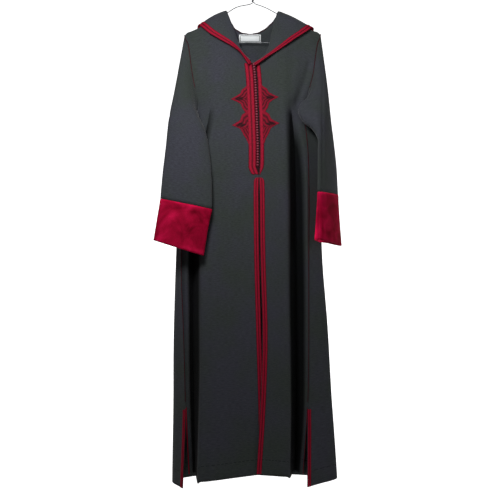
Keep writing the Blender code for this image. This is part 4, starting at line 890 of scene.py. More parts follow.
# The left cuff's inner side is folded flat and flares downwards: its middle and half width round the
# tube, in radians, and how far its foot stands out (across, depth)
SIDE_TURN, SIDE_HALF, SIDE_FLARE = 2.75, 0.62, np.array([-13.0, -5.0, 0.0])
RIM_DEPTH, RIM_SHEEN = 0.035, 0.35      # of the painted highlight along the upper edge: its part of the cuff, how bright
ROLL_DOWN, ROLL_HEIGHT = 0.05, 0.9     # of the roll below the seam: its part of the cuff, its height
CUFF_WAVES = 1.1
CUFF_RINGS = 7
for hand, table in (("right", CUFF_RIGHT), ("left", CUFF_LEFT)):
    rings = tube_rings(table, np.linspace(0, 1, CUFF_RINGS), even_turns)
    net = piece_net(rings, ring_normals(rings))
    # The padded turn-up stands fullest a little below its seam
    down = np.linspace(0, 1, len(net))[:, None]
    raise_points(net, hanging_waves(net, CUFF_WAVES) * np.sin(np.pi * down)
                 + ROLL_HEIGHT * bell(down - ROLL_DOWN, ROLL_DOWN))
    # The painted highlight: a bright band along the upper edge, and on the left cuff its folded side as
    # well
    lean = RIM_SHEEN * bell(down, RIM_DEPTH) + 0 * net[..., 0]
    if hand == "left":
        folded_side = bell(turns_round(net) - SIDE_TURN, SIDE_HALF, 6)
        lean = np.maximum(lean, folded_side)
        net[..., :3] += (down * folded_side)[..., None] * SIDE_FLARE
    piece = wall(f"cuff_{hand}_velvet", net, VELVET, velvet, closed=True, lean=lean)
    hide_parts(f"cuff_{hand}")


# ---- Hood -----------------------------------------------------------------------------------------
# A pointed hood of the same cloth, sewn round the neck. It lies open and thrown back: its face edge
# spreads over both shoulders, and the rest hangs behind as a deep pouch.
HOOD_BRAID_WIDTH = 17.5
HOOD_CELLS = 14         # along each rib, as far as the braid
HOOD_REACH = 25.0       # the panels push the hood off from no further than this
POUCH_OFF = 18.0        # how far the foot of the pouch stands off behind
NECK_SIDE_OFF = 2.2     # the hood stands this much further off at the sides of the neck
HOOD_RISE = 0.4         # of that distance for each step away from the seam
HOOD_CLEAR = 6.0        # between the middle of the panels and the middle of the hood
SEAM_CLEAR = 2.0        # the same, at the seam
HOOD_WAVES = 1.6
POUCH_FULL = 100.0      # from this depth on the pouch hangs with its whole weight
RIB_FULL = 60.0         # ribs shorter than this stand off less
POUCH_HANDLE = 4 / 3    # handles this much lower carry the middle of a curve down by 1
# A row for each seam point: stand-off, pouch, and the face edge (across, depth, drop)
HOOD_ROWS = (
    (1, 0, -17, -30, 268), (2, 0, -39, -30, 237), (3, 0, -68, -28, 215), (4, 0, -98, -25, 197),
    (4, 0, -130, -21, 177), (4, 0, -156, -14, 155), (3, 0, -168, 0, 145.5),
    (4, 0, -171, 12, 152), (6, 60, -162, 31, 172), (6, 132, -133, 50, 206), (0, 225, -84, 63, 236),
    (0, 290, -5, 70, 249), (0, 228, 77, 64, 238), (6, 150, 136, 52, 216), (6, 66, 172, 36, 190),
    (4, 0, 187.5, 12.5, 161),
    (3, 0, 186, 0, 154), (4, 0, 176, -13.5, 160), (4, 0, 157, -19.5, 174), (4, 0, 130, -23, 192),
    (3, 0, 101, -26.5, 213), (3, 0, 71, -28.5, 234), (2, 0, 42, -30, 253), (2, 0, 13, -31, 273),
)


def hood_grid():
    """Ribs from the neck seam to the face edge, over the shoulder or down the back and up the pouch:
    cubic curves with two handles each, which the pouch's depth carries down."""
    seam, away = (np.vstack([right[0, :NECK_CELLS + 1], behind[0, neck_start + 1:neck_end],
                             left[0, NECK_CELLS::-1]])
                  for right, behind, left in ((right_front, back, left_front),
                                              (right_normal, back_normal, left_normal)))
    known = np.arange(len(seam))
    places = np.arange(1, len(seam) - 0.9, 0.5)
    seam, away = (np.column_stack([np.interp(places, known, values) for values in string.T])
                  for string in (seam, away))
    away = unit(away)
    rows = read_table(np.arange(len(HOOD_ROWS)), HOOD_ROWS,
                      np.linspace(0, len(HOOD_ROWS) - 1, len(places)))
    left_side = len(known) - NECK_CELLS - 1
    at_neck_side = np.interp(places, (NECK_CELLS - 4, NECK_CELLS, NECK_CELLS + 3,
                                      left_side - 3, left_side, left_side + 4), (0, 1, 0, 0, 1, 0))
    off_seam = CLOTH + SEAM_GAP + NECK_SIDE_OFF * at_neck_side
    t = np.linspace(0, 1, 201)[:, None]
    ribs = []
    for point, normal, off, (stand, pouch, *edge) in zip(seam, away, off_seam, rows):
        start = point + normal * off
        span = edge - start
        down = np.array([0, 0, POUCH_HANDLE]) * pouch
        deep = min(pouch, POUCH_FULL) / POUCH_FULL
        back_off = np.array([0, 1, 0]) * POUCH_OFF * deep
        rise = (stand + HOOD_CLEAR) * min(1, np.linalg.norm(span) / RIB_FULL)
        # The curve's handles stand at thirds of its span, and move apart over a deep pouch
        nearer = start + 0.33 * span * (1 - 0.6 * deep) + normal * rise + down + back_off
        further = start + span * (0.67 + 0.33 * deep) + normal * stand + down + back_off
        reach = ((1 - t) ** 3 * start + 3 * t * (1 - t) ** 2 * nearer
                 + 3 * t * t * (1 - t) * further + t ** 3 * edge)
        length = length_along(reach)
        last = np.interp(length[-1] - min(HOOD_BRAID_WIDTH, 0.6 * length[-1]), length, t.ravel())
        ribs.append(read_table(t.ravel(), reach, np.append(np.linspace(0, last, HOOD_CELLS), 1.0)))
    return np.array(ribs)


def nearest_of(places, net, step=600):
    """The point of a net nearest to each place, and its direction."""
    points, directions = net[..., :3].reshape(-1, 3), net[..., 3:6].reshape(-1, 3)
    flat = places.reshape(-1, 3)
    best = np.concatenate([((flat[at:at + step, None] - points[None]) ** 2).sum(axis=2).argmin(axis=1)
                           for at in range(0, len(flat), step)])
    return points[best].reshape(places.shape), directions[best].reshape(places.shape)


def laid_off(grid, clearance, beneath, times):
    """Moves a grid off the nets beneath it: each point nearer than its clearance moves out along the
    direction of the nearest point beneath, and the moves are evened out over its neighbours."""
    for _ in range(times):
        near, way = nearest_of(grid, beneath)
        height = ((grid - near) * way).sum(axis=2)
        reach = np.linalg.norm(grid - near, axis=2)
        push = np.where(reach < HOOD_REACH, np.maximum(clearance - height, 0), 0)[..., None] * way
        padded = np.pad(push, ((1, 1), (1, 1), (0, 0)), mode="edge")
        beside = push + padded[:-2, 1:-1] + padded[2:, 1:-1] + padded[1:-1, :-2] + padded[1:-1, 2:]
        even = 0.2 * beside
        push[:, 1:] = np.maximum(np.abs(push), np.abs(even))[:, 1:] * np.sign(even)[:, 1:]
        grid = grid + push
    return grid


hood = hood_grid()
from_seam = np.array([length_along(rib) for rib in hood])
beneath = np.vstack([net[::3, ::2].reshape(-1, 6) for net in panels.values()])[None]
hood = laid_off(hood, np.minimum(HOOD_CLEAR, SEAM_CLEAR + HOOD_RISE * from_seam), beneath, 4)
hood_net = fine_net(np.dstack([hood, face_normals(hood)]), NET_CELLS)
rise = hanging_waves(hood_net, HOOD_WAVES)
raise_points(hood_net, rise * away_from_edges(hood_net, True, True, False, 3 * NET_CELLS))
piece = wall("hood_cloth", hood_net, CLOTH, robe_cloth)
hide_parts("hood")


# ---- Braid on the hood's face edge ----------------------------------------------------------------
# Crimson rayon braid: two flat plaited cords side by side with a dark line between them, folded over
# the raw edge and stitched through. Its threads cross it in fine slanted ribs and stand out as picots.
BRAID = 1.5
RIB_PITCH = 4.0
PICOT = 0.7             # how far the ribs stand out past a braid's edge
EDGE_COVER = 1.4        # how far the braid reaches past the cloth's raw edge
LAY_GAP = 0.3           # between a braid and the cloth it lies on
STEP = 1.0              # between two rings of a braid
BRAID_RUN_ON = 8.0      # past the hood's edge, at both ends

STRAND = 1.923          # one strand to the next, drawn four times as coarse as the real ones to show
# Rayon filaments take a deep dye; painted shade makes it bright on top of each cord, and nearly black
# down between them
crimson_rayon = new_material("crimson_rayon_braid", Roughness=0.72, Sheen_Weight=0.03,
                             Sheen_Roughness=0.3, Sheen_Tint="#FF5070", Specular_IOR_Level=0.12)
braid_place = add_node(crimson_rayon, "ShaderNodeTexCoord").outputs["Object"]
strands = add_node(crimson_rayon, "ShaderNodeTexNoise", {"Vector": braid_place,
                   "Scale": 1 / (STRAND * MM), "Detail": 2.0}).outputs["Fac"]
cord_shade = add_node(crimson_rayon, "ShaderNodeAttribute", attribute_name="shade").outputs["Fac"]
thread_light = add_node(crimson_rayon, "ShaderNodeMath", {0: strands, 1: 0.5, 2: cord_shade},
                        operation="MULTIPLY_ADD").outputs[0]
# The ramp's foot is the grey cloth that shows between the cords
rayon_tone = add_node(crimson_rayon, "ShaderNodeValToRGB", {"Fac": thread_light},
                      ((0.0, "#34393A"), (0.1, "#160409"), (0.28, "#25060E"), (0.62, "#66081D"),
                       (1.0, "#A6102F"))).outputs["Color"]
bump = add_node(crimson_rayon, "ShaderNodeBump", {"Height": strands, "Strength": 0.5,
                "Distance": 0.0005}).outputs[0]
shader_takes(crimson_rayon, Base_Color=rayon_tone, Normal=bump)


def tube_faces(rings):
    """The faces of a closed tube with flat ends, and its cells, wound so that they look outwards.

    Their pyramids down to the tube's middle have a positive volume when they look outwards in metres.
    """
    number = np.arange(rings.shape[0] * rings.shape[1]).reshape(rings.shape[:2])
    corner = np.hstack([number, number[:, :1]]).ravel()
    cells = grid_cells(rings.shape[0], rings.shape[1] + 1)
    points = rings.reshape(-1, 3) - rings.mean(axis=(0, 1))
    a, b, c, d = (points[corner[cells[:, side]]] for side in range(4))
    order = slice(None, None, -1 if (a * (np.cross(b, c) + np.cross(c, d))).sum() > 0 else 1)
    cells = cells[:, order]
    return corner[cells].tolist() + [number[0, order].tolist(), number[-1, ::-1][order].tolist()], cells


def skin(name, rings, material, shade=None):
    """A closed tube through rings of points, with flat ends; shade is a number for each point."""
    faces, cells = tube_faces(rings)
    place = cut_places(np.hstack([rings, rings[:, :1]]))
    uv = np.vstack([place[cells].reshape(-1, 2), np.zeros((2 * rings.shape[1], 2))])
    thing = new_mesh(name, rings.reshape(-1, 3), faces, material, uv, shade=shade)
    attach(thing, "root")
    return thing


def ribs_along(length):
    """1 on each slanted rib at the edge of a braid, and 0 between two."""
    return 0.5 + 0.5 * np.cos(2 * np.pi * length / RIB_PITCH)


def plait(along, across, cords):
    """Height (0 to 1) and shade of a flat braid of so many cords, at lengths along and shares across:
    a rounded top for each cord, crossed by ribs that slant away from its middle."""
    within = across * cords - np.floor(np.clip(across * cords, 0, cords - 1e-6))
    round_top = np.sin(np.pi * np.clip(within, 0.02, 0.98)) ** 0.6
    ribs = ribs_along(along + 0.7 * RIB_PITCH * np.abs(within - 0.5))
    # The shade is painted shade and painted highlight: dark between the cords and ribs, lighter on their
    # tops
    return round_top * (0.72 + 0.28 * ribs), 0.05 + round_top * (0.45 + 0.35 * ribs)


def every_step(lines, step):
    """Strings of points side by side in columns, read again at every step along the first of them."""
    along = length_along(lines[:, :3])
    places = np.linspace(0, along[-1], int(along[-1] / step) + 1)
    return places, read_table(along, lines, places)


band_start, band_edge = hood_net[:, -1 - NET_CELLS], hood_net[:, -1]
lines = np.hstack([band_edge[:, :3], band_start[:, :3], band_edge[:, 3:], band_start[:, 3:]])
_, lines = every_step(lines, STEP)
# Both ends run on past the hood's edge until they meet at the foot of the opening's V
for end, inner in ((0, 5), (-1, -6)):
    onward = unit(lines[end, :3] - lines[inner, :3])
    steps = np.arange(STEP, BRAID_RUN_ON + STEP / 2, STEP)[:, None]
    more = lines[end] + steps * np.concatenate([onward, onward, np.zeros(6)])
    lines = np.vstack([more[::-1], lines] if end == 0 else [lines, more])
run = length_along(lines[:, :3])
edge, start, edge_out, start_out = (lines[:, None, at:at + 3] for at in (0, 3, 6, 9))
beyond = unit(edge - start)
share = np.linspace(0, 1, 17)
high, tone = plait(run[:, None], share[None], 2)
foot = CLOTH / 2 + LAY_GAP
picot = PICOT * ribs_along(run)[:, None, None]
reach = share[None, :, None]
middle = start + (edge + beyond * EDGE_COVER - start) * reach + beyond * picot * (reach - 0.5) * 2
way = start_out + (edge_out - start_out) * reach
faces = [middle + way * side * (foot + BRAID * high[..., None]) for side in (1, -1)]
piece = skin("hood_edge_braid", np.concatenate([faces[0], faces[1][:, ::-1]], axis=1), crimson_rayon,
             np.hstack([tone, tone[:, ::-1]]))
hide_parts("hood_braid")


# ---- Chest placket --------------------------------------------------------------------------------
# The opening's edging: crimson braid down both sides, and two pairs of pointed leaves worked in
# couched cord, ring within ring, through which a little of the grey cloth shows. The right half
# carries the buttons.
PLACKET_TOP, LAST_BUTTON, PLACKET_FOOT = 268.0, 588.0, 613.0
BAND_SHIFT = -10.5      # middle of the band from the opening line
ORNAMENT_SKEW = -0.04   # the wearer's left side sits a little higher
PLACKET_END = ((268, 24), (560, 23.5), (588, 23), (598, 20), (607, 15), (613, 9.5))
# A leaf's outline: drop and distance from the middle of the band, from its top down
UPPER_LEAF = ((333, 14), (337, 23), (343, 29), (349, 38), (361, 44), (369, 57), (377, 74), (385, 56),
              (393.5, 43.5), (408, 39), (420, 31), (425, 14))
LOWER_LEAF = ((415, 14), (420, 31), (428, 42), (442.5, 46.6), (450, 58), (458, 73), (465, 57),
              (472, 46), (488, 39), (503, 30), (521, 23), (526, 14))
LEAF_RINGS = 4          # couched cords inside one another
LEAF_MIDDLE = 15.0      # of the rings, from the middle of the band
LEAF_STITCHES = 46      # across the cords, all round a leaf
LEAF_BASE = 0.8         # thickness of its ground
SURFACE_REACH = 7.0     # how far around a place the panel's directions are averaged
NEAR_OPENING = 0.62     # part of a front's columns that lie before its side fold
CHEST_DROPS = (240, 660)               # of the part of the fronts that the placket lies on
RIGHT_EDGE = -0.6       # inner edge of the right braid, from the middle of the band
LEFT_EDGE = 1.0         # inner edge of the left braid, from the opening line
MEET_SHORT = 0.4        # below the last button the right braid runs over to this much short of the line
BRAID_LEAST = 2.5       # the least width of each
STAND_PAST = 0.6        # how far the buttons' strip may reach past the opening line
STAND_LIFT, LEAF_LIFT = 0.5, 0.35      # middle of the strip and of the leaves' ground over the gap
LAID_PICOT = 0.6        # how far the ribs of a laid braid stand out past its edge
FACE_UP, EDGE_SUNK = 0.25, 0.2         # a laid braid's face is lifted, and its edges are pressed in


def inner_edge(panel, drops):
    """Across of a front's inner edge at these drops."""
    return np.interp(drops, panel[:, 0, 2], panel[:, 0, 0])


def front_face(net):
    """The outer surface of a front near the opening, as separate points and directions."""
    near = net[:, :int(NEAR_OPENING * net.shape[1])].reshape(-1, 6)
    return near[:, :3] + near[:, 3:] * CLOTH / 2, near[:, 3:]


def laid_on(surface, across, drop, height, step=400):
    """Points that stand height off a surface at (across, drop): there, the planes touching the surface
    at its nearest points are averaged, by the bell curve of their distance."""
    points, ways = surface
    flat = np.stack([across.ravel(), drop.ravel()], axis=1)
    found = []
    for at in range(0, len(flat), step):
        off = flat[at:at + step, None] - points[None, :, [0, 2]]
        weight = np.exp(-((off / SURFACE_REACH) ** 2).sum(axis=2)) + 1e-12
        depth = points[None, :, 1] - (off * ways[None, :, [0, 2]]).sum(axis=2) / ways[None, :, 1]
        total = weight.sum(axis=1)
        way = weight @ ways / total[:, None]
        found.append(np.column_stack([(weight * depth).sum(axis=1) / total, way]))
    found = np.vstack(found)
    way = unit(found[:, 1:])
    base = np.column_stack([flat[:, 0], found[:, 0], flat[:, 1]])
    return (base + way * height.ravel()[:, None]).reshape(*across.shape, 3)


def near_points(surface, low, high):
    """The points of a surface whose drop lies between low and high."""
    points, ways = surface
    kept = (points[:, 2] > low) & (points[:, 2] < high)
    return points[kept], ways[kept]


def laid_braid(name, surface, drops, starts, ends, cords):
    """A braid on a surface between two lines, each given by its across at the drops."""
    share = np.append(np.linspace(0, 1, 6 * cords + 1), [1.0, 0.0])
    along = length_along(np.column_stack([starts, drops]))
    high, tone = plait(along[:, None], share[None], cords)
    high[:, -2:] = 0.0
    picot = LAID_PICOT * ribs_along(along)[:, None] * np.sign(ends - starts)[:, None]
    across = starts[:, None] + (ends - starts)[:, None] * share + picot * (share - 0.5) * 2
    drop = np.repeat(drops[:, None], len(share), axis=1)
    face = np.arange(len(share)) < len(share) - 2
    height = LAY_GAP + BRAID * high + np.where(face, FACE_UP, -EDGE_SUNK)[None]
    return skin(name, laid_on(surface, across, drop, height), crimson_rayon, tone)


right_face, left_face = front_face(panels["front_right"]), front_face(panels["front_left"])
chest = {"right": near_points(right_face, *CHEST_DROPS), "left": near_points(left_face, *CHEST_DROPS)}
drops = np.arange(PLACKET_TOP, PLACKET_FOOT, STEP)
middle = inner_edge(right_front, drops) + BAND_SHIFT
ends = np.array(PLACKET_END, float)
outside = read_table(ends[:, 0], ends[:, 1:], drops)[:, 0]
# Below the last button both halves meet in front of the opening
meeting = np.clip((drops - LAST_BUTTON) / (PLACKET_FOOT - LAST_BUTTON), 0, 1)
inside = RIGHT_EDGE + meeting * (-BAND_SHIFT - MEET_SHORT)
trim = {"right": [laid_braid("placket_braid_right", chest["right"], drops, middle + inside,
                             middle - np.maximum(outside, BRAID_LEAST - inside), 2)],
        "left": [laid_braid("placket_braid_left", chest["left"], drops, middle - BAND_SHIFT + LEFT_EDGE,
                            middle + np.maximum(outside, LEFT_EDGE + BRAID_LEAST - BAND_SHIFT), 1)]}

# The buttons stand on a strip of plain braid which sinks into the gap between the halves; it is coloured
# nearly black as painted shade, darkest over the gap
BUTTON_STAND = (-0.3, 10.6)
stand_share = np.linspace(0, 1, 9)
stand_across = middle[:, None] + BUTTON_STAND[0] + (BUTTON_STAND[1] - BUTTON_STAND[0]) * stand_share
stand_across = np.minimum(stand_across, (middle - BAND_SHIFT + STAND_PAST)[:, None])
place = laid_on(chest["right"], stand_across, drops[:, None] + 0 * stand_across,
                np.full_like(stand_across, LAY_GAP + STAND_LIFT))
# Painted shade: the strip is nearly black, and darker still over the gap
stand_shade = np.broadcast_to(np.where(stand_share < 0.72, 0.02, -0.14), stand_across.shape)
trim["right"].append(wall("placket_button_stand", facing_front(place), LEAF_BASE, crimson_rayon,
                          shade=stand_shade))

around = np.linspace(0, 1, 121)
inwards = np.linspace(0.03, 1, 12 * LEAF_RINGS + 1)
for leaf_name, outline in (("upper", UPPER_LEAF), ("lower", LOWER_LEAF)):
    outline = np.array(outline, float)
    corner_share = length_along(outline) / length_along(outline)[-1]
    drop = np.interp(around, corner_share, outline[:, 0])
    reach = np.interp(around, corner_share, outline[:, 1])
    centre = 0.5 * (outline[0, 0] + outline[-1, 0])
    for hand, side in (("right", -1), ("left", 1)):
        reaches = LEAF_MIDDLE + (reach[:, None] - LEAF_MIDDLE) * inwards[None]
        falls = centre + (drop[:, None] - centre) * inwards[None]
        ring = 0.5 - 0.5 * np.cos(2 * np.pi * LEAF_RINGS * inwards[None])
        radial = 0.5 + 0.5 * np.cos(2 * np.pi * around[:, None] * LEAF_STITCHES + 3.0 * inwards[None])
        high = 0.35 + 1.05 * np.maximum(ring, 0.45 * radial * inwards[None])
        # The outermost ring is a bolder cord, and inside the point only grey cloth and stitches show
        rim = bell(inwards[None] - 0.965, 0.035)
        point_drop = outline[outline[:, 1].argmax(), 0]
        hollow = np.exp(-(((reaches - 46) / 12) ** 2 + ((falls - point_drop) / 5) ** 2) ** 2)
        # Painted shade darkens each leaf between its rings of cord and its stitches; at the hollow the
        # grey cloth shows
        tone = np.clip(0.08 + 0.36 * ring + 0.16 * radial + 0.3 * rim - 0.42 * hollow, 0.0, 0.8)
        line = inner_edge(right_front, falls) + BAND_SHIFT
        place = laid_on(chest[hand], line + side * reaches, falls + side * ORNAMENT_SKEW * reaches,
                        np.full_like(falls, LAY_GAP + LEAF_LIFT))
        place[..., 1] -= 0.5 * high
        trim[hand].append(wall(f"{leaf_name}_leaf_{hand}", facing_front(place), LEAF_BASE,
                               crimson_rayon, shade=tone))
for hand, pieces in trim.items():
    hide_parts(f"placket_{hand}")


# ---- Buttons and loops ----------------------------------------------------------------------------
# A close row of small balls knotted from silk cord, one over the other, on the right edge. Each is
# held by a loop of fine cord from the left edge.
BUTTON_COUNT, BUTTON_PITCH, BUTTON_RADIUS = 39, 8.2, 3.3
BUTTON_SHIFT = 4.2      # of their middles from the middle of the band
BUTTON_SPREAD = 1.3     # the balls are pressed wider than they are high
BALL_WAVE = 0.06        # height of the cords in its surface, as a part of its radius
LOOP_RADIUS, LOOP_CORD = 4.8, 0.75
LOOP_REACH = 125        # degrees round the ball to each side
LOOP_SHIFT = np.array([0.0, 0.9, 0.0])  # of the loops from the balls

# Silk's smooth filaments give each knot a soft gloss; its colour is a painted highlight on the front of
# each ball over painted shade round its sides
knotted_silk = new_material("knotted_silk", Roughness=0.5, Sheen_Weight=0.1, Sheen_Roughness=0.3,
                            Sheen_Tint="#FFB0C0", Specular_IOR_Level=0.3)
painted_knot_light = add_node(knotted_silk, "ShaderNodeAttribute", attribute_name="shade").outputs["Fac"]
silk_tone = add_node(knotted_silk, "ShaderNodeValToRGB", {"Fac": painted_knot_light},
                     ((0.4, "#24050D"), (1.0, "#9A4254"))).outputs["Color"]
shader_takes(knotted_silk, Base_Color=silk_tone)


def repeated(name, rings, places, material, shade):
    """One closed shape of rings, set down again at each place."""
    faces, _ = tube_faces(rings)
    count = rings.shape[0] * rings.shape[1]
    points = (places[:, None] + rings.reshape(1, -1, 3)).reshape(-1, 3)
    every = [[corner + index * count for corner in face]
             for index in range(len(places)) for face in faces]
    thing = new_mesh(name, points, every, material, shade=np.tile(shade.ravel(), len(places)))
    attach(thing, "root")
    return thing


button_drop = PLACKET_TOP + BUTTON_PITCH * (np.arange(BUTTON_COUNT) + 0.5)
button_across = inner_edge(right_front, button_drop) + BAND_SHIFT + BUTTON_SHIFT
seats = laid_on(chest["right"], button_across, button_drop, np.full(BUTTON_COUNT, 0.8 * BUTTON_RADIUS))
# A ball whose axis points forward, its surface waved where the cord passes over and under itself
polar = np.linspace(0.1, 0.9, 8)[:, None] * np.pi
turn = np.arange(14)[None] * 2 * np.pi / 14
over_under = np.cos(4 * turn + 3 * polar) * np.sin(polar)
radius = BUTTON_RADIUS * (1 + BALL_WAVE * over_under)
ball = np.stack([BUTTON_SPREAD * radius * np.sin(polar) * np.cos(turn), -radius * np.cos(polar),
                 radius * np.sin(polar) * np.sin(turn)], axis=-1)
# Painted highlight on the front of each ball, fading to painted shade round its sides, with the cords'
# waves
painted_front_light = np.clip(np.cos(polar) * 1.15, 0, 1) + 0 * turn
piece = repeated("knotted_buttons", ball, seats, knotted_silk, painted_front_light * (0.85 + 0.15 * over_under))
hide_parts("button_row")

bow = np.radians(np.linspace(-LOOP_REACH, LOOP_REACH, 13))[:, None]
girth = np.arange(6)[None] * np.pi / 3
out_of_middle = LOOP_RADIUS + LOOP_CORD * np.cos(girth)
loop = np.stack([-out_of_middle * np.cos(bow) + 0.6, LOOP_CORD * np.sin(girth) + 0 * bow,
                 out_of_middle * np.sin(bow) * 0.93], axis=-1)
piece = repeated("button_loops", loop, seats + LOOP_SHIFT, crimson_rayon, np.full((13, 6), 0.35))


# ---- Braid on the slits ---------------------------------------------------------------------------
# The same braid edges the front slit, closing over its top in a narrow arch, and both edges of the
# side slits near the hem.
SLIT_BRAID, SIDE_BRAID = 14.5, 12.5    # widths
SLIT_BRAID_IN = 1.0     # from the front's inner edge
SLIT_DROPS = (590, 1600)               # of the part of the fronts that the slit's braid lies on
BRAID_END = 1.5         # the slit's braid stops this far short of its top and of the hem
SIDE_GAP = 0.5          # between a side braid and the cloth, and between it and the inner line's end
SIDE_SUNK = 0.3         # its edges are pressed in by this part of its thickness
for hand, face, panel, side in (("right", right_face, right_front, -1),
                                ("left", left_face, left_front, 1)):
    drops = np.arange(SLIT_TOP + BRAID_END, panel[-1, 0, 2] - BRAID_END, STEP)
    edge_across = inner_edge(panel, drops) + side * SLIT_BRAID_IN
    into = np.clip((SLIT_TOP + SLIT_BRAID - drops) / SLIT_BRAID, 0, 0.98)
    piece = laid_braid(f"front_slit_braid_{hand}", near_points(face, *SLIT_DROPS), drops, edge_across,
                       edge_across + side * SLIT_BRAID * np.sqrt(1 - into ** 2), 2)
    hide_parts(f"slit_braid_{hand}")

for panel_name, edge, node in (("front_right", -1, "side_braid_front_right"),
                               ("front_left", -1, "side_braid_front_left"),
                               ("back", 0, "side_braid_back_right"),
                               ("back", -1, "side_braid_back_left")):
    inner = NET_CELLS if edge == 0 else -1 - NET_CELLS
    net = panels[panel_name][(SEWN_ROWS - 1) * NET_CELLS:]
    run, lines = every_step(np.hstack([net[:, edge], net[:, inner, :3]]), STEP)
    line, out, towards = (lines[:, None, at:at + 3] for at in (0, 3, 6))
    way = towards - line
    room = np.linalg.norm(way, axis=2, keepdims=True)
    share = np.append(np.linspace(0, 1, 13), [1.0, 0.0])
    high, tone = plait(run[:, None], share[None], 2)
    high[:, -2:] = -SIDE_SUNK
    width = np.minimum(SIDE_BRAID, room - SIDE_GAP)
    rings = (line + way / room * (LAY_GAP + width * share[None, :, None])
             + out * (CLOTH / 2 + SIDE_GAP + BRAID * high[..., None]))
    piece = skin(f"{node}_strip", rings, crimson_rayon, tone)
    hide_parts(node)


# ---- Seam cords -----------------------------------------------------------------------------------
# A fine crimson cord of two twisted rayon strands is couched over the armhole and side seams. One more
# covers the back neck seam on the inside.
CORD_RADIUS, CORD_TWIST = 0.95, 5.0
CORD_STEP = 0.8         # between two rings of a cord


def twisted_cord(name, seam, node):
    """A cord on a seam of points and directions: each ring is pinched where its two strands meet, and
    the pinch turns once every CORD_TWIST."""
    middle = seam[:, :3] + (CLOTH / 2 + CORD_RADIUS) * seam[:, 3:]
    run, lines = every_step(np.hstack([middle, seam[:, 3:]]), CORD_STEP)
    path, up = lines[:, :3], lines[:, 3:]
    along = np.gradient(path, axis=0)
    side = unit(np.cross(along, up))
    up = unit(np.cross(side, along))
    turn = np.arange(8)[None] * np.pi / 4
    pinch = np.cos(turn - 2 * np.pi * run[:, None] / CORD_TWIST) ** 2
    radius = (CORD_RADIUS * (0.72 + 0.38 * pinch))[..., None]
    around = np.cos(turn)[..., None] * side[:, None] + np.sin(turn)[..., None] * up[:, None]
    # Painted shade: each cord is darker where its two strands meet
    piece = skin(name, path[:, None] + radius * around, crimson_rayon, 0.02 + 0.2 * pinch)
    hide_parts(node)


back_net = panels["back"]
for hand, edge, front_net in (("right", 0, panels["front_right"]), ("left", -1, panels["front_left"])):
    seam = back_net[(UNDERARM_ROW + 1) * NET_CELLS:(SEWN_ROWS - 1) * NET_CELLS - 1, edge]
    twisted_cord(f"side_seam_cord_{hand}", seam, f"side_cord_{hand}")
    upper = slice(NET_CELLS, (UNDERARM_ROW - 2) * NET_CELLS + 1)
    seam = np.vstack([front_net[upper, -1][::-1], back_net[:(UNDERARM_ROW - 2) * NET_CELLS + 1, edge]])
    twisted_cord(f"armhole_seam_cord_{hand}", seam, f"armhole_cord_{hand}")
# At the neck it lies on the inside, a little clear of the cloth
neck = slice((neck_start + 2) * NET_CELLS, (neck_end - 2) * NET_CELLS + 1)
way = back_net[NET_CELLS, neck, 3:]
inside = back_net[NET_CELLS // 2, neck, :3] - (CLOTH + 2 * CORD_RADIUS + 0.3) * way
twisted_cord("neck_seam_cord", np.hstack([inside, way]), "neck_cord")


# ---- Neck label -----------------------------------------------------------------------------------
# A strip of pale satin-woven tape, its ends folded under and sewn on inside the back of the neck. It
# is left bare but for a woven border line.
LABEL_WIDTH, LABEL_HEIGHT, LABEL_THICKNESS = 68.0, 25.0, 0.6
LABEL_LEFT, LABEL_TOP, LABEL_BORDER, BORDER_HALF = -43.0, 171.0, 4.0, 0.9
LABEL_OFF, LABEL_BULGE = 1.1, 0.5      # from the cloth at its ends, and how much further its middle is
# The long floats of a satin weave give the tape an even, soft gloss
satin_tape = new_material("pale_satin_tape", Roughness=0.45, Sheen_Weight=0.2, Specular_IOR_Level=0.4)
tape_place = add_node(satin_tape, "ShaderNodeUVMap", uv_map="cut").outputs["UV"]
tape = add_node(satin_tape, "ShaderNodeSeparateXYZ", {"Vector": tape_place})
from_edge = []
for axis, size in (("X", LABEL_WIDTH * MM), ("Y", LABEL_HEIGHT * MM)):
    centred = add_node(satin_tape, "ShaderNodeMath", {0: tape.outputs[axis], 1: size / 2},
                       operation="SUBTRACT").outputs[0]
    off_middle = add_node(satin_tape, "ShaderNodeMath", {0: centred}, operation="ABSOLUTE").outputs[0]
    from_edge.append(add_node(satin_tape, "ShaderNodeMath", {0: size / 2, 1: off_middle},
                              operation="SUBTRACT").outputs[0])
nearest_edge = add_node(satin_tape, "ShaderNodeMath", dict(enumerate(from_edge)),
                        operation="MINIMUM").outputs[0]
border = add_node(satin_tape, "ShaderNodeMath", {0: nearest_edge, 1: LABEL_BORDER * MM,
                  2: BORDER_HALF * MM}, operation="COMPARE").outputs[0]
label_tone = add_node(satin_tape, "ShaderNodeValToRGB", {"Fac": border},
                      ((0.0, "#D2D6D7"), (1.0, "#4A5054"))).outputs["Color"]
shader_takes(satin_tape, Base_Color=label_tone)

neck_part = back_net[:, (neck_start - 1) * NET_CELLS:(neck_end + 1) * NET_CELLS].reshape(-1, 6)
neck_part = neck_part[(neck_part[:, 2] < 260) & (np.abs(neck_part[:, 4]) > 0.5)]
inner_face = (neck_part[:, :3] - neck_part[:, 3:] * CLOTH / 2, -neck_part[:, 3:])
across, drop = np.meshgrid(LABEL_LEFT + LABEL_WIDTH * np.linspace(0, 1, 25),
                           LABEL_TOP + LABEL_HEIGHT * np.linspace(0, 1, 13))
bulge = LABEL_BULGE * np.sin(np.pi * np.linspace(0, 1, 13))[:, None] * (1 + 0.4 * np.sin(across / 9))
place = laid_on(inner_face, across, drop, LABEL_OFF + bulge)
piece = wall("neck_label", facing_front(place), LABEL_THICKNESS, satin_tape)
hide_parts("label")


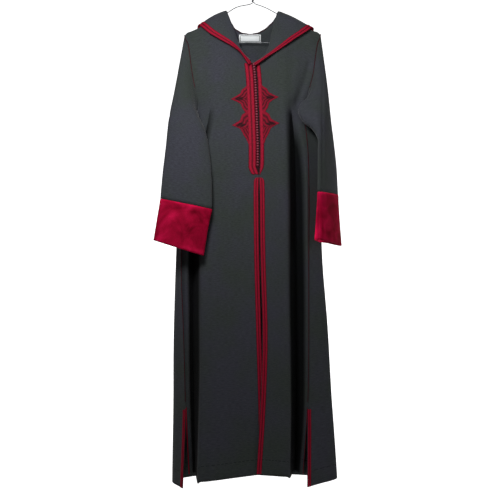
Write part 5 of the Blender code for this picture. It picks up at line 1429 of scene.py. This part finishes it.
# ---- Wire hanger ----------------------------------------------------------------------------------
# A plain hanger bent from one length of galvanised steel wire: shoulders, rounded ends and bar, its
# tail wound up round the stem of the hook.
WIRE_RADIUS, HOOK_RADIUS = 1.4, 20.0
HOOK_TIP, HOOK_END = 205, -48          # degrees round the hook, at its tip and where it bends down
BEND_HANDLE, BEND_FOOT = 44.0, 52.0    # drops of the bend from the hook into its stem
STEM_DROPS = (60.0, 67.0)
TWIST_TURNS, TWIST_TOP, TWIST_FOOT = 2.5, 58.0, 74.0
WIRE_STEP = 2.0         # between two rings of the frame
BAR_DROP, BAR_HALF = 199.0, 90         # the bar is straight over this far to each side
FRAME_START = (-1.2, 76.4)             # beside the stem, below the twist
FRAME_END = ((-200.5, 176), (-203.5, 186), (-199, 195.5), (-187, 199))
SPANGLE = 4.545         # one grain of the zinc to the next
# Hot-dipped zinc sets in grains, some of them duller than the others
galvanised_wire = new_material("galvanised_steel_wire", Base_Color="#787A7D", Metallic=0.9)
wire_place = add_node(galvanised_wire, "ShaderNodeTexCoord").outputs["Object"]
zinc = add_node(galvanised_wire, "ShaderNodeTexNoise", {"Vector": wire_place,
                "Scale": 1 / (SPANGLE * MM), "Detail": 3.0}).outputs["Fac"]
dull = add_node(galvanised_wire, "ShaderNodeMapRange", {"Value": zinc, "To Min": 0.22,
                "To Max": 0.5}).outputs[0]
shader_takes(galvanised_wire, Roughness=dull)


def wire(name, path, sides=14):
    """A round wire along a path that lies near one upright plane."""
    path = np.asarray(path, float)
    along = unit(np.gradient(path, axis=0))
    side = unit(np.cross(along, [0.0, 1.0, 0.0]))
    up = np.cross(side, along)
    turn = np.arange(sides)[None, :, None] * 2 * np.pi / sides
    around = np.cos(turn) * side[:, None] + np.sin(turn) * up[:, None]
    return skin(name, path[:, None] + WIRE_RADIUS * around, galvanised_wire)


turn = np.radians(np.linspace(HOOK_TIP, HOOK_END, 72))
arc = np.column_stack([HOOK_RADIUS * np.cos(turn), 0 * turn,
                       HOOK_RADIUS - WIRE_RADIUS - HOOK_RADIUS * np.sin(turn)])
ease = np.linspace(0, 1, 19)[1:, None]
curve = ((1 - ease) ** 2 * arc[-1] + [0, 0, BEND_HANDLE] * (2 * ease * (1 - ease))
         + [0, 0, BEND_FOOT] * ease ** 2)
stem = np.array([[0, 0, drop] for drop in (*STEM_DROPS, TWIST_FOOT)])
piece = wire("wire_hook", np.vstack([arc, curve, stem]))
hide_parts("hanger_hook")

corners = (FRAME_START, *LEFT_ARM, *FRAME_END, (-BAR_HALF, BAR_DROP), (BAR_HALF, BAR_DROP),
           *[(-x, drop) for x, drop in FRAME_END[::-1]], *RIGHT_ARM[::-1])
corners = np.array([(x, 0.0, drop) for x, drop in corners])
_, loop_line = every_step(corners, WIRE_STEP)
turn = np.linspace(0, TWIST_TURNS * 2 * np.pi, 90)
out = 2 * WIRE_RADIUS + 0.2
tail = np.column_stack([out * np.cos(turn), out * np.sin(turn),
                        np.linspace(TWIST_FOOT, TWIST_TOP, len(turn))])
piece = wire("wire_frame", np.vstack([loop_line, tail]))
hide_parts("hanger_frame")
